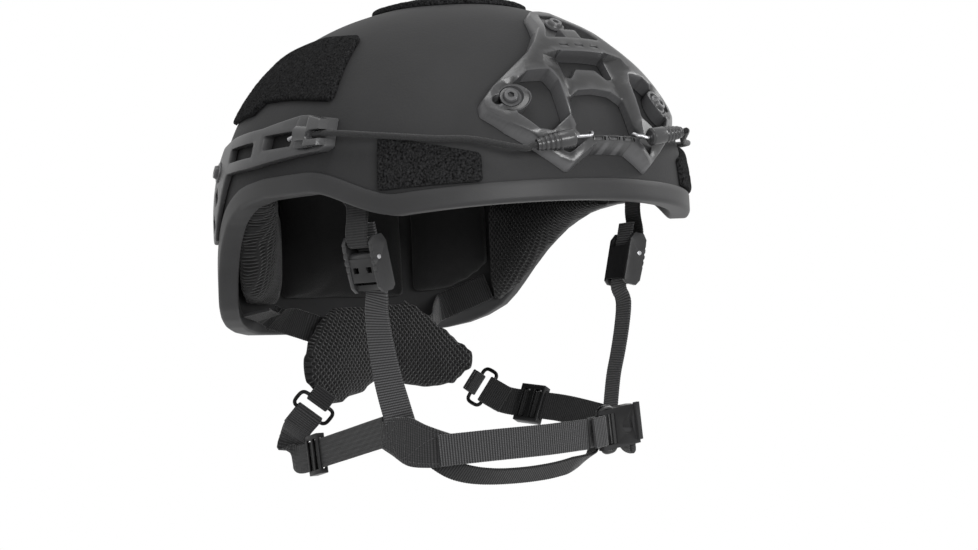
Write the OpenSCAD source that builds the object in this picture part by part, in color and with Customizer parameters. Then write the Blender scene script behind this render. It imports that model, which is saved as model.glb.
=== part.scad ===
// High-cut combat helmet: laminated shell, front mount frame, side rails, pad liner and chin strap.
// Frame: the wearer faces -Y, the wearer's left is +X, up is +Z. Z = 0 is the brim's lower edge.

/* [Shell] */
// Length of the bare shell, front to back
shell_len = 278; // [270:1:286]
// Width of the bare shell
shell_w = 238; // [230:1:246]
// Height of the crown above the brim
crown_z = 118; // [112:1:122]
// Thickness of the laminate
wall = 8; // [7:0.5:9]
// Depth of the nape below the brim
nape_drop = 58; // [52:1:62]
// Height of the ear arch above the brim
arch_rise = 10; // [6:1:12]
// Dip of the temple below the brim
temple_dip = 5; // [3:1:7]

/* [Edge trim] */
// Height of the rubber edge trim
trim_h = 9; // [7:0.5:11]
// Thickness of the rubber edge trim
trim_t = 1.5; // [1.2:0.1:2]

/* [Front mount frame] */
// Height of the screws' seats above the shell
screw_seat_t = 4.5; // [3.5:0.5:5]
// Height of the frame's face above the shell
frame_t = 9.5; // [8:0.5:10]
// Width of the relief along the face's edges
frame_edge = 0.8; // [0.5:0.1:1]
// Diameter of the screws through the shell
screw_d = 5; // [4:0.5:5.5]
// Diameter of the screw heads
head_d = 10.5; // [10:0.5:11]

/* [Side rails] */
// Thickness of the rails
rail_t = 6.5; // [5.5:0.5:7.5]
// Height of the rails' slots
rail_slot_h = 7.5; // [6.5:0.5:8.5]

/* [Shock cords] */
// Diameter of the shock cords
cord_d = 3.2; // [2.8:0.2:3.6]
// Diameter of the cord barrels
barrel_d = 9; // [8:0.5:10]
// Diameter of the hook wire
wire_d = 1.8; // [1.6:0.1:2.2]

/* [Liner] */
// Thickness of the comfort pads
pad_t = 19; // [15:1:22]
// Thickness of the hook-and-loop patches
patch_t = 2.6; // [2:0.2:3]
// Thickness of the nape pad
nape_t = 10; // [8:1:12]

/* [Chin strap] */
// Width of the webbing
web_w = 16; // [15:0.5:17]
// Thickness of the webbing
web_t = 1.4; // [1.2:0.1:1.6]
// Height of the cam buckles
buckle_h = 30; // [28:1:32]
// Thickness of the cam buckles' side walls
ear_t = 2.6; // [2.2:0.2:3]
// Diameter of the cam buckles' hinge pins
pin_d = 2.5; // [2:0.1:2.8]
// Height of the magnetic buckle
plate_h = 21; // [20:0.5:23]
// Thickness of each plate of the magnetic buckle
plate_t = 4; // [3.6:0.2:4.4]
// Diameter of the buckle's magnets
magnet_d = 8; // [7:0.5:9]

/* [Hidden] */
$fn = 32;
tiny = 0.01;
// clearance of pieces that lie on one another
seat = 0.3;
// radial clearance of hinge bores
run = 0.05;
widest_back = 2;
front_len = shell_len / 2 + widest_back;
rear_len = shell_len / 2 - widest_back;
plan_power = 2.13;
front_round = 2.2;
side_round = 2.12;
rear_round = 2.39;
// angles from the front at which the rim turns
temple_at = 46;
arch_from = 45.5;
arch_to = 71;
// how far the rim has come down from the ear arch to the nape, by angle
nape_curve = [[88, 0], [96, 0.024], [100, 0.047], [105, 0.103], [109, 0.162], [113, 0.25], [116.5, 0.338],
    [121, 0.485], [124.5, 0.618], [127, 0.71], [130, 0.8], [135, 0.885], [140, 0.94], [146, 0.978], [153, 1]];

// Plain helpers
function unit(v) = v / norm(v);
function mix(a, b, f) = a + (b - a) * f;
function clamp(x, a, b) = min(max(x, a), b);
function ease(x, a, b) = let (f = clamp((x - a) / (b - a), 0, 1)) f * f * (3 - 2 * f);
function off_front(t) = let (a = ((t % 360) + 360) % 360) a > 180 ? 360 - a : a;

// The shell's outer surface: t is the angle from the front towards +X, z the height, d the distance outwards
function plan_r(t) = let (s = abs(sin(t)) / (shell_w / 2), c = abs(cos(t)) / (cos(t) > 0 ? front_len : rear_len))
    pow(pow(s, plan_power) + pow(c, plan_power), -1 / plan_power);
function round_at(t) = front_round * pow(max(cos(t), 0), 2) + rear_round * pow(max(-cos(t), 0), 2)
    + side_round * pow(sin(t), 2);
function rho(t, z) = z <= 0 ? plan_r(t)
    : plan_r(t) * pow(max(1 - pow(min(z / crown_z, 1), round_at(t)), 0), 1 / round_at(t));
function normal(t, z) = let (
        m = round_at(t),
        R = plan_r(t),
        turn = (plan_r(t + 0.5) - plan_r(t - 0.5)) / (PI / 180) / R,
        lift = z <= 0 ? 0 : pow(max(rho(t, z), 0.001), 1 - m) * pow(R, m) * pow(z, m - 1) / pow(crown_z, m))
    unit([sin(t) - turn * cos(t), -cos(t) - turn * sin(t), lift]);
function skin(t, z, d) = [rho(t, z) * sin(t), widest_back - rho(t, z) * cos(t), z] + normal(t, z) * d;
// the shell's lower edge, which the trim wraps
function rim_z(t) = let (a = off_front(t)) trim_t - temple_dip * pow(min(a / temple_at, 1), 1.8)
    + (arch_rise + temple_dip) * ease(a, arch_from, arch_to) - (nape_drop + arch_rise) * lookup(a, nape_curve);
// the same surface from above: height over a point of the plan
function roof(x, y, d) = let (
        t = atan2(x, widest_back - y),
        m = round_at(t),
        f = min(norm([x, y - widest_back]) / plan_r(t), 1),
        z = crown_z * pow(1 - pow(f, m), 1 / m))
    f < 0.001 ? [0, widest_back, crown_z + d] : skin(t, z, d);

// A closed dome between two offsets, down to the height foot(t)
module dome(outer, inner, foot, rows, cols) {
    last = rows * cols;
    function ring(i, d) = [for (j = [0 : cols - 1]) let (t = j * 360 / cols)
        skin(t, mix(foot(t), crown_z, sin(90 * i / rows)), d)];
    function at(o, i, j) = o * (last + 1) + i * cols + j % cols;
    points = [for (d = [outer, inner]) each [each [for (i = [0 : rows - 1]) each ring(i, d)],
        [0, widest_back, crown_z + d]]];
    faces = [for (j = [0 : cols - 1]) each [
        each [for (i = [0 : rows - 2]) each [
            [at(0, i, j), at(0, i + 1, j), at(0, i + 1, j + 1)],
            [at(0, i, j), at(0, i + 1, j + 1), at(0, i, j + 1)],
            [at(1, i, j), at(1, i + 1, j + 1), at(1, i + 1, j)],
            [at(1, i, j), at(1, i, j + 1), at(1, i + 1, j + 1)]]],
        [at(0, rows - 1, j), last, at(0, rows - 1, j + 1)],
        [at(1, rows - 1, j), at(1, rows - 1, j + 1), 2 * last + 1],
        [at(0, 0, j), at(0, 0, j + 1), at(1, 0, j + 1)],
        [at(0, 0, j), at(1, 0, j + 1), at(1, 0, j)]]];
    polyhedron(points, faces);
}

// A closed slab between an outer and an inner grid of points
module slab(outer, inner) {
    m = len(outer) - 1;
    n = len(outer[0]) - 1;
    function at(o, i, j) = (o * (m + 1) + i) * (n + 1) + j;
    faces = [
        for (i = [0 : m - 1], j = [0 : n - 1]) each [
            [at(0, i, j), at(0, i + 1, j), at(0, i + 1, j + 1)],
            [at(0, i, j), at(0, i + 1, j + 1), at(0, i, j + 1)],
            [at(1, i, j), at(1, i + 1, j + 1), at(1, i + 1, j)],
            [at(1, i, j), at(1, i, j + 1), at(1, i + 1, j + 1)]],
        for (j = [0 : n - 1]) each [
            [at(0, 0, j), at(0, 0, j + 1), at(1, 0, j + 1)],
            [at(0, 0, j), at(1, 0, j + 1), at(1, 0, j)],
            [at(0, m, j), at(1, m, j), at(1, m, j + 1)],
            [at(0, m, j), at(1, m, j + 1), at(0, m, j + 1)]],
        for (i = [0 : m - 1]) each [
            [at(0, i + 1, 0), at(0, i, 0), at(1, i, 0)],
            [at(0, i + 1, 0), at(1, i, 0), at(1, i + 1, 0)],
            [at(0, i, n), at(0, i + 1, n), at(1, i + 1, n)],
            [at(0, i, n), at(1, i + 1, n), at(1, i, n)]]];
    polyhedron([each [for (row = outer) each row], each [for (row = inner) each row]], faces);
}

// A slab of the shell's surface: from angle t0 to t1, from low(t) to high(t) and out to over(t, z)
module layer(t0, t1, low, high, under, over, rows, cols) {
    function grid(d) = [for (i = [0 : rows]) [for (j = [0 : cols])
        let (t = mix(t0, t1, j / cols), z = mix(low(t), high(t), i / rows)) skin(t, z, d(t, z))]];
    slab(grid(over), grid(function (t, z) under));
}

// The same with a crowned inner face, for pads: the edge is thinner than the middle
module cushion(t0, t1, low, high, seat_d, thick, rows, cols) {
    function swell(i, j) = let (u = 2 * i / rows - 1, v = 2 * j / cols - 1) 1 - 0.5 * max(pow(u, 4), pow(v, 4));
    function grid(face) = [for (i = [0 : rows]) [for (j = [0 : cols])
        let (t = mix(t0, t1, j / cols), d = face ? seat_d - thick * swell(i, j) : seat_d)
        skin(t, mix(low(t), high(t), i / rows), d)]];
    slab(grid(false), grid(true));
}

// A smooth route through chosen points
function smooth(P, n) = [for (i = [0 : len(P) - 2], k = [0 : n - 1]) let (
        a = P[max(i - 1, 0)], b = P[i], c = P[i + 1], d = P[min(i + 2, len(P) - 1)], f = k / n)
    0.5 * (2 * b + (c - a) * f + (2 * a - 5 * b + 4 * c - d) * f * f + (3 * b - 3 * c + d - a) * f * f * f),
    P[len(P) - 1]];
function heading(P, i) = unit(P[min(i + 1, len(P) - 1)] - P[max(i - 1, 0)]);

// Webbing along a route, with the direction of its width at each point
module webbing(route, across, wide = web_w, thick = web_t) {
    n = len(route);
    points = [for (i = [0 : n - 1]) let (
            side = unit(across[i]),
            up = unit(cross(heading(route, i), side)))
        each [for (c = [[1, 1], [-1, 1], [-1, -1], [1, -1]])
            route[i] + side * c[0] * wide / 2 + up * c[1] * thick / 2]];
    faces = [
        for (i = [0 : n - 2], k = [0 : 3]) let (a = 4 * i + k, b = 4 * i + (k + 1) % 4) each [
            [a, b + 4, b], [a, a + 4, b + 4]],
        [1, 2, 3], [0, 1, 3],
        [4 * n - 2, 4 * n - 3, 4 * n - 4], [4 * n - 1, 4 * n - 2, 4 * n - 4]];
    polyhedron(points, faces);
}

// A round tube along a route
module tube(route, d, sides = 8) {
    n = len(route);
    points = [for (i = [0 : n - 1]) let (
            along = heading(route, i),
            side = unit(cross(along, abs(along[2]) > 0.9 ? [0, 1, 0] : [0, 0, 1])),
            up = cross(side, along))
        each [for (k = [0 : sides - 1]) route[i]
            + (side * cos(360 * k / sides) + up * sin(360 * k / sides)) * d / 2]];
    faces = [
        for (i = [0 : n - 2], k = [0 : sides - 1]) let (a = sides * i + k, b = sides * i + (k + 1) % sides) each [
            [a, b + sides, a + sides], [a, b, b + sides]],
        [for (k = [sides - 1 : -1 : 0]) k],
        [for (k = [0 : sides - 1]) sides * (n - 1) + k]];
    polyhedron(points, faces);
}

// Puts children on the shell's surface with +Z along its normal
module on_skin(t, z, d) {
    n = normal(t, z);
    translate(skin(t, z, d)) rotate([0, acos(n[2]), atan2(n[1], n[0])]) children();
}
module left() mirror([1, 0, 0]) children();

// Screw seats by angle and height: [right, left, top] of the frame, [front, rear] of a rail
frame_screw_at = [[-20.5, 49], [20.5, 49], [0, 89]];
rail_screw_at = [[-67.5, 37.5], [-119.5, 29.5]];
module rail_screw_places(d) for (m = [0, 1], s = rail_screw_at) mirror([m, 0, 0]) on_skin(s[0], s[1], d) children();

// Shell with the bores of the frame and rail screws
module shell() {
    color("#3a3b3d") difference() {
        dome(0, -wall, function (t) rim_z(t), 11, 60);
        for (s = frame_screw_at) on_skin(s[0], s[1], -1.6 * wall) cylinder(d = screw_d, h = 3 * wall);
        rail_screw_places(-1.6 * wall) cylinder(d = screw_d, h = 3 * wall);
    }
}

// Rubber channel around the shell's edge
module edge_trim() {
    cols = 60;
    // the step of dist across the surface, square to the rim
    function inwards(t, dist, d) = let (
            along = unit(skin(t + 0.5, rim_z(t + 0.5), 0) - skin(t - 0.5, rim_z(t - 0.5), 0)),
            up = cross(normal(t, rim_z(t)), along),
            round = [cos(t), sin(t), 0])
        skin(t + dist * (up * round) / rho(t, rim_z(t)) * 180 / PI, rim_z(t) + dist * up[2], d);
    gap = 0.35;
    function section(t) = [inwards(t, trim_h, gap), inwards(t, trim_h, trim_t), inwards(t, -trim_t, trim_t),
        inwards(t, -trim_t, -wall - trim_t), inwards(t, trim_h * 0.6, -wall - trim_t),
        inwards(t, trim_h * 0.6, -wall - gap), inwards(t, -gap, -wall - gap), inwards(t, -gap, gap)];
    n = 8;
    points = [for (j = [0 : cols - 1]) each section(j * 360 / cols)];
    faces = [for (j = [0 : cols - 1], k = [0 : n - 1]) let (
            a = n * j + k, b = n * j + (k + 1) % n, c = n * ((j + 1) % cols) + (k + 1) % n, e = n * ((j + 1) % cols) + k)
        each [[a, e, c], [a, c, b]]];
    color("#48494b") polyhedron(points, faces);
}

// Front mount frame, drawn on a plane that leans back with the forehead
frame_lean = 35;
frame_low = -60.8;
frame_half = [[0, 34], [-6, 33], [-10, 28], [-16, 12], [-25, 0.5], [-32, -6.5], [-40, -12], [-54.5, -21.5],
    [-60, -26.5], [-60.5, -32], [-51.5, -45], [-43.4, -54.2], [-36.4, -61.6], [-28, -68.8], [-11, frame_low],
    [0, frame_low]];
arm_window = [[-44.5, -22.5], [-37, -18.5], [-25.5, -19.5], [-23, -26], [-23, -46], [-33.5, -52.5], [-40, -50.5],
    [-48, -39.5]];
foot_window = [[-31, -60.4], [-29.8, -62.3], [-27.4, -63.4], [-25.6, -63.2], [-17.8, -59.2], [-20.5, -58.3]];
upper_window = [[-15, -8], [15, -8], [15, -21.5], [11.5, -22.5], [6, -16.5], [-6, -16.5], [-11.5, -22.5],
    [-15, -21.5]];
lower_window = [[0, -29], [10.5, -30], [17, -34], [19.8, -54], [15.5, -57.4], [-15.5, -57.4], [-19.8, -54],
    [-17, -34], [-10.5, -30]];
screw_boss = [-46.5, -30];
screw_boss_r = 8;
// sunk tray around the top screw, with a block left standing in it
tray = [[-4, 28], [4, 28], [12, 12], [17, 3], [-17, 3], [-12, 12]];
tray_block = [10, 7];
// marks across the two bars: width, height, depth and their places
mark = [4.5, 1, 0.6];
mark_rows = [-3.5, -58.8];
mark_pitch = 9.5;
module both_ways() {
    children();
    mirror([1, 0]) children();
}
// radius of the frame's outer corners
frame_round = 2.5;
module frame_outline(inset) {
    difference() {
        both_ways() offset(r = frame_round, $fn = 16) offset(delta = -inset - frame_round)
            polygon(concat(frame_half, [[inset + frame_round, frame_low], [inset + frame_round, 34]]));
        both_ways() difference() {
            offset(delta = inset) polygon(arm_window);
            translate(screw_boss) circle(r = screw_boss_r - inset);
        }
        both_ways() offset(delta = inset * 0.5) polygon(foot_window);
        offset(delta = inset) polygon(upper_window);
        offset(delta = inset) polygon(lower_window);
    }
}
// the face gets lower towards the ends of the arms, the feet and the top screw
arm_thin = 3.5;
foot_more = 1.4;             // the feet thin by this many times the arms' share
module frame_layer(under, over, thin) layer(-36, 36, function (t) 3, function (t) crown_z * 0.955, under,
    function (t, z) over - thin * max(ease(off_front(t), 14, 30), ease(z, 82, 97), foot_more * ease(z, 25, 16)), 12, 18);
module leaning(depth) rotate([90 - frame_lean, 0, 0]) linear_extrude(depth) children();
// the screws' holes are slots, so that the frame can shift on other shells
screw_slot = 5;
module mount_frame() {
    color("#4a4b4d") difference() {
        union() {
            intersection() {
                frame_layer(seat + 0.15, frame_t - frame_edge, arm_thin);
                leaning(200) frame_outline(0);
            }
            intersection() {
                frame_layer(screw_seat_t - 1, frame_t, arm_thin);
                leaning(200) frame_outline(frame_edge);
            }
        }
        intersection() {
            frame_layer(screw_seat_t, frame_t + 4, 0);
            leaning(200) difference() {
                polygon(tray);
                translate([-tray_block[0] / 2, 3]) square(tray_block);
            }
        }
        intersection() {
            frame_layer(frame_t - mark[2], frame_t + 4, 0);
            leaning(200) for (v = mark_rows, u = [-mark_pitch, 0, mark_pitch])
                translate([u, v]) square([mark[0], mark[1]], center = true);
        }
        for (s = frame_screw_at) on_skin(s[0], s[1], -1) {
            cylinder(d = screw_d + 0.4, h = 3 * frame_t);
            translate([0, 0, screw_seat_t + 1]) cylinder(d = head_d + 1, h = 3 * frame_t);
            if (s[0] != 0) translate([-screw_d / 2, s[0] > 0 ? 0 : -head_d / 2 - screw_slot + 1, 0])
                cube([screw_d, head_d / 2 + screw_slot - 1, 3 * frame_t]);
        }
    }
}

// Button-head screw with its washer; the head's seat is at z = 0 and the shank reaches down
module button_screw(reach) {
    difference() {
        union() {
            cylinder(d = head_d, h = 1.2);
            translate([0, 0, 1.2]) cylinder(d1 = head_d * 0.78, d2 = head_d * 0.62, h = 2);
            translate([0, 0, -reach]) cylinder(d = screw_d - 0.2, h = reach + tiny);
        }
        translate([0, 0, 1.4]) cylinder(d = head_d * 0.34, h = 4, $fn = 6);
    }
}
module frame_screws() color("#55565a") for (s = frame_screw_at) on_skin(s[0], s[1], screw_seat_t + 0.1)
    button_screw(screw_seat_t + wall + 2);
module rail_screws() color("#55565a") rail_screw_places(rail_seat) button_screw(rail_seat + wall + 5);

// Side rails in the side view (y, z)
rail_outline = [[-55, 32], [-53, 47], [-32, 50.5], [0, 47], [37, 46], [48, 43.5], [60, 41], [69, 30], [78, 10],
    [80, -5], [73, -9], [66, -7], [60, 2], [50, 13], [40, 26.5], [7, 26.5], [-38, 29.5], [-51, 30]];
rail_slots = [[5, 38, 36.3], [-30, -5, 38.5]];
leg_slots = [[62.5, 16.5], [69.5, 2.5]];
// the rail gets thinner towards its rear leg
rail_thin = 3.4;
rail_seat = 2.6;
plate_gauge = 1.5;
module rail() {
    difference() {
        intersection() {
            layer(-140, -48, function (t) -22, function (t) 62, seat + 0.15,
                function (t, z) rail_t - rail_thin * ease(off_front(t), 92, 118), 6, 20);
            translate([-160, 0, 0]) rotate([90, 0, 90]) linear_extrude(110) difference() {
                polygon(rail_outline);
                for (s = rail_slots) translate([s[0], s[2] - rail_slot_h / 2]) square([s[1] - s[0], rail_slot_h]);
                for (s = leg_slots) translate(s) rotate(-28) square([7, rail_slot_h], center = true);
            }
        }
        rail_screw_places(0) {
            translate([0, 0, -2]) cylinder(d = screw_d + 0.4, h = 2 * wall);
            translate([0, 0, rail_seat - 0.1]) cylinder(d = head_d + 0.8, h = 2 * wall);
        }
    }
}
module rail_right() color("#505154") rail();
module rail_left() color("#505154") left() rail();

// Flanged nuts inside the shell, one on each screw
module flange_nut() difference() {
    union() {
        cylinder(d = head_d + 2, h = 1.2);
        cylinder(d = head_d * 0.8, h = 3);
    }
    translate([0, 0, -1]) cylinder(d = screw_d, h = 6);
}
module insert_nuts() color("#8b8d90") {
    for (s = frame_screw_at) on_skin(s[0], s[1], -wall - 1.1) rotate([180, 0, 0]) flange_nut();
    // the front ones sit on the anchor plates
    for (m = [0, 1], k = [0, 1]) mirror([m, 0, 0]) on_skin(rail_screw_at[k][0], rail_screw_at[k][1],
        k == 0 ? anchor_d - seat : -wall - 1.1) rotate([180, 0, 0]) flange_nut();
}

// Shock cord clip on the front end of each rail: a block with a fork for the cord
clip_t = 5.5;
clip_outline = [[-56, 32.5], [-54, 46.5], [-42, 49.5], [-34, 50], [-34, 32.5]];
module cord_clip() intersection() {
    layer(-82, -48, function (t) 24, function (t) 60, rail_t + seat, function (t, z) rail_t + clip_t, 4, 6);
    translate([-160, 0, 0]) rotate([90, 0, 90]) linear_extrude(110) difference() {
        polygon(clip_outline);
        translate([-70, cord_z0 - cord_d * 0.8]) square([20, cord_d * 1.6]);
        translate([-50, cord_z0]) circle(r = cord_d * 1.15);
    }
}
module cord_clip_right() color("#77787b") cord_clip();
module cord_clip_left() color("#77787b") left() cord_clip();

// Cord barrels by side [right, left]: where the nose starts, their turn and tilt, and points along their axis
barrel_at = [[-46, -142.1, 25.7], [-40.6, -149, 33.8]];
barrel_turn = [-20, 2.3];
barrel_tilt = [10.3, -8.9];
nose_len = 12;
body_len = 8;
function barrel_point(side, x) = barrel_at[side] + x * [cos(barrel_tilt[side]) * cos(barrel_turn[side]),
    cos(barrel_tilt[side]) * sin(barrel_turn[side]), sin(barrel_tilt[side])];

// Shock cords: angle, height and distance from the shell, from the clip's fork to the barrel
cord_z0 = 38.6;
cord_start = [[-65.5, 36.3, 8.6], [-60.4, 36.2, 7.9], [-52.3, 34.2, 6.9], [-43.6, 31.7, 6.9]];
cord_end = [[[-36.3, 29.7, 7], [-29.3, 28.4, 7.5]], [[-36.5, 29.8, 4], [-29, 28.6, 6]]];
cord_turn = [-8, -4];
function cord_route(side) = [for (p = concat(cord_start, cord_end[side])) skin(p[0], p[1], p[2]),
    each [for (x = [cord_turn[side], -2.5, 1, nose_len - 3]) barrel_point(side, x)]];
module shock_cord(side) tube(smooth(cord_route(side), 3), cord_d);
module shock_cord_right() color("#1d1d1f") shock_cord(0);
module shock_cord_left() color("#1d1d1f") left() shock_cord(1);

// Cord barrels: a ribbed nose that tapers towards the cord, then a plain cylinder
module cord_barrel(side) translate(barrel_at[side]) rotate([0, -barrel_tilt[side], barrel_turn[side]]) rotate([0, 90, 0])
    rotate_extrude()
    polygon([[cord_d / 2 + 0.2, 0], [barrel_d * 0.32, 0],
        each [for (k = [0 : 3]) each let (r = barrel_d * (0.34 + 0.035 * k), x = 2.6 + k * 2.4)
            [[r, x - 1.1], [r + 0.35, x - 0.7], [r + 0.35, x + 0.5], [r, x + 0.9]]],
        [barrel_d / 2, nose_len], [barrel_d / 2, nose_len + body_len - 1],
        [barrel_d / 2 - 1, nose_len + body_len], [wire_d / 2 + 0.1, nose_len + body_len],
        [wire_d / 2 + 0.1, nose_len - 2], [cord_d / 2 + 0.2, nose_len - 2]]);
module cord_barrel_right() color("#3a3b3d") cord_barrel(0);
module cord_barrel_left() color("#3a3b3d") left() cord_barrel(1);

// Wire hooks, straight from the barrels to the corners of the frame's lower window and in behind its bar
hook_bend = [[[-16.6, -146.9, 30.6], [-14.6, -146, 31.3]], [[-16.8, -146.8, 31.4], [-14.8, -146, 31.6]]];
hook_end = [[-13.4, -144.3, 32.5], [-13.2, -141.4, 30.6], [-13.2, -139, 29]];
function hook_route(side) = concat([for (x = [0, body_len, body_len + 1.5]) barrel_point(side, nose_len + x)],
    hook_bend[side], hook_end);
module cord_hook(side) tube(smooth(hook_route(side), 2), wire_d);
module cord_hook_right() color("#a9abae") cord_hook(0);
module cord_hook_left() color("#a9abae") left() cord_hook(1);

// Hook-and-loop patches
patch_seat = 0.4;
crown_patch_half = [38, 43];
crown_patch_y = -6;
module patch_crown() {
    n = 10;
    // a square grid drawn in to a rounded outline
    function grid(d) = [for (i = [0 : n]) [for (j = [0 : n]) let (u = 2 * j / n - 1, v = 2 * i / n - 1)
        roof(crown_patch_half[0] * u * sqrt(1 - 0.42 * v * v),
            crown_patch_y + crown_patch_half[1] * v * sqrt(1 - 0.42 * u * u), d)]];
    color("#2a2b2c") slab(grid(patch_seat + patch_t), grid(patch_seat));
}
rear_patch_low = [[64, 56], [84, 61], [101, 63], [107, 52], [128, 44]];
rear_patch_high = [[64, 92], [90, 96], [128, 92]];
module patch_rear() layer(-128, -65, function (t) lookup(-t, rear_patch_low),
    function (t) lookup(-t, rear_patch_high), patch_seat, function (t, z) patch_seat + patch_t, 4, 12);
module patch_rear_left() color("#2a2b2c") left() patch_rear();
module patch_rear_right() color("#2a2b2c") patch_rear();
front_patch_low = [[27, 9.3], [50, 7.6]];
front_patch_high = [[27, 23], [50, 35.5]];
module patch_front() layer(-50, -27.5, function (t) lookup(-t, front_patch_low),
    function (t) lookup(-t, front_patch_high), patch_seat, function (t, z) patch_seat + patch_t, 3, 5);
module patch_front_right() color("#2a2b2c") patch_front();
module patch_front_left() color("#2a2b2c") left() patch_front();

// Comfort pads on the inside of the shell
pad_seat = -wall - 0.9;
module pad_crown() {
    function swell(u, v) = 1 - 0.45 * max(pow(u, 4), pow(v, 4));
    function grid(face) = [for (i = [0 : 8]) [for (j = [0 : 8]) let (u = i / 4 - 1, v = j / 4 - 1)
        roof(v * 46, widest_back + u * 52, pad_seat - (face ? pad_t * swell(u, v) : 0))]];
    color("#141415") slab(grid(false), grid(true));
}
module pad_front() color("#141415") cushion(-33, 33, function (t) 8, function (t) 41.5, pad_seat, pad_t, 5, 8);
module pad_rear() color("#141415") cushion(158, 198, function (t) -38, function (t) 60, pad_seat, pad_t, 7, 6);
back_pad_low = [[133, -19], [138, -27], [144, -33], [155.5, -36]];
module pad_back() color("#141415") cushion(133, 155.5, function (t) lookup(t, back_pad_low), function (t) 60,
    pad_seat, pad_t, 7, 5);
module pad_side() cushion(-86, -52, function (t) rim_z(t) + 42, function (t) 84, pad_seat, pad_t, 5, 5);
module pad_side_right() color("#141415") pad_side();
module pad_side_left() color("#141415") left() pad_side();
module pad_mesh_right() color("#1b1b1c") cushion(-155, -104, function (t) max(rim_z(t) + 8, -41), function (t) 20,
    pad_seat - 1.2, pad_t + 2, 7, 7);
mesh_pad_low = [[84, 10], [94, 5.8], [101, 0.3], [108, -7], [114, -16], [119, -27], [124, -36], [131, -43]];
module pad_mesh_left() color("#1b1b1c") cushion(84, 131, function (t) lookup(t, mesh_pad_low), function (t) 20,
    pad_seat - 1.2, pad_t, 7, 8);

// Nape pad: two lobes behind the neck
nape_top = -42;
nape_low = -97;
nape_back = 70;
nape_x = -10;
nape_roll = -4.4;
module nape_pad() {
    rows = 8;
    cols = 12;
    // the left lobe hangs a little lower than the right one
    function half_w(f, left_lobe) = f > 0.65 ? mix(61, 41, pow((f - 0.65) / 0.35, 1.6))
        : mix(28, 61, left_lobe ? f / 0.65 : sin(90 * f / 0.65));
    function plump(u, f) = 1 - 0.5 * max(pow(abs(u), 4), pow(abs(2 * f - 1), 4)) - 0.18 * exp(-pow(u / 0.14, 2));
    function point(u, f, s) = let (
            x = u * half_w(f, u > 0),
            bottom = nape_low + 7 * exp(-pow(u / 0.35, 2)),
            bow = pow(x / 62, 2) * 20)
        [x + mix(-5, 0, f), nape_back - bow + s * nape_t / 2 * plump(u, f), mix(nape_top, bottom, f)];
    function grid(s) = [for (i = [0 : rows]) [for (j = [0 : cols]) point(2 * j / cols - 1, 1 - i / rows, s)]];
    color("#202021") translate([nape_x, 0, 0]) rotate([0, nape_roll, 0]) slab(grid(-1), grid(1));
}

// Webbing from the shell's inner wall to the upper corners of the nape pad
hanger_d = -wall - trim_t - seat - web_t / 2 - 1.3;
hanger_route_left = [skin(133, -33, hanger_d), skin(140, -38.5, hanger_d), skin(147.5, -44.5, hanger_d), [47, 87, -51],
    [35, 72, -57.5], [26, 71.2, -61]];
module nape_hanger_left() color("#39393b") webbing(smooth(hanger_route_left, 2), [for (k = [0 : 10]) [0, 0, 1]]);
hanger_route_right = [skin(-137, -46, -17.5), skin(-150, -48.5, -18), [-54, 87, -51], [-49, 74, -55],
    [-40, 71, -58.5]];
module nape_hanger_right() color("#39393b") webbing(smooth(hanger_route_right, 2), [for (k = [0 : 8])
    mix([0.7, -0.72, 0.2], [0, 0.1, 1], ease(k, 2, 6))]);

// Anchor plates under the front rail screws' nuts, which hold the anchor straps
anchor_d = -wall - 1.6 - plate_gauge;
slot_at = 11.3;
module strap_anchor() on_skin(rail_screw_at[0][0], rail_screw_at[0][1], anchor_d) difference() {
    translate([-8, -10, 0]) cube([22.5, 20, plate_gauge]);
    translate([0, 0, -1]) cylinder(d = screw_d + 0.4, h = 4);
    translate([slot_at - 1.3, -web_w / 2 - 0.5, -1]) cube([2.6, web_w + 1, 4]);
}
module strap_anchors() color("#5c5e61") {
    strap_anchor();
    left() strap_anchor();
}

// Cam buckles: placed at cam_at, turned to face outwards and leaning with the strap
// Both sides are drawn as the right one, and the left is mirrored: [right, left]
cam_at = [[-89, -55.5, -26], [-85, -45, -24]];
cam_turn = 99;
cam_lean = -13;
module cam_place(side) translate(cam_at[side]) rotate([0, 0, cam_turn]) rotate([cam_lean, 0, 0]) children();
function cam_point(side, p) = let (
        y = p[1] * cos(cam_lean) - p[2] * sin(cam_lean),
        z = p[1] * sin(cam_lean) + p[2] * cos(cam_lean))
    cam_at[side] + [p[0] * cos(cam_turn) - y * sin(cam_turn), p[0] * sin(cam_turn) + y * cos(cam_turn), z];
cam_inner = web_w + 1.6;
cam_w = cam_inner + 2 * ear_t;
cam_pin_y = 3.6;
cam_pin_z = 3;
cam_bar_z = buckle_h / 2 - 4;
cam_bar_y = 3.4;
cam_bar_d = 3;
module cam_frame(side) cam_place(side) {
    difference() {
        union() {
            for (s = [-1, 1]) translate([s * (cam_inner + ear_t) / 2, 0, 0]) rotate([90, 0, 90])
                translate([0, 0, -ear_t / 2]) linear_extrude(ear_t) ear_profile();
            translate([-cam_w / 2 + tiny, -3.2, -buckle_h / 2 + 3]) cube([cam_w - 2 * tiny, 1.2, buckle_h * 0.62]);
            translate([-cam_w / 2 + tiny, 1.5, -buckle_h / 2 + 1]) cube([cam_w - 2 * tiny, 3, 3]);
            translate([-cam_w / 2 + tiny, cam_bar_y, cam_bar_z]) rotate([0, 90, 0])
                cylinder(d = cam_bar_d, h = cam_w - 2 * tiny);
        }
        translate([-cam_w, cam_pin_y, cam_pin_z]) rotate([0, 90, 0]) cylinder(d = pin_d, h = 2 * cam_w);
    }
}
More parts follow.
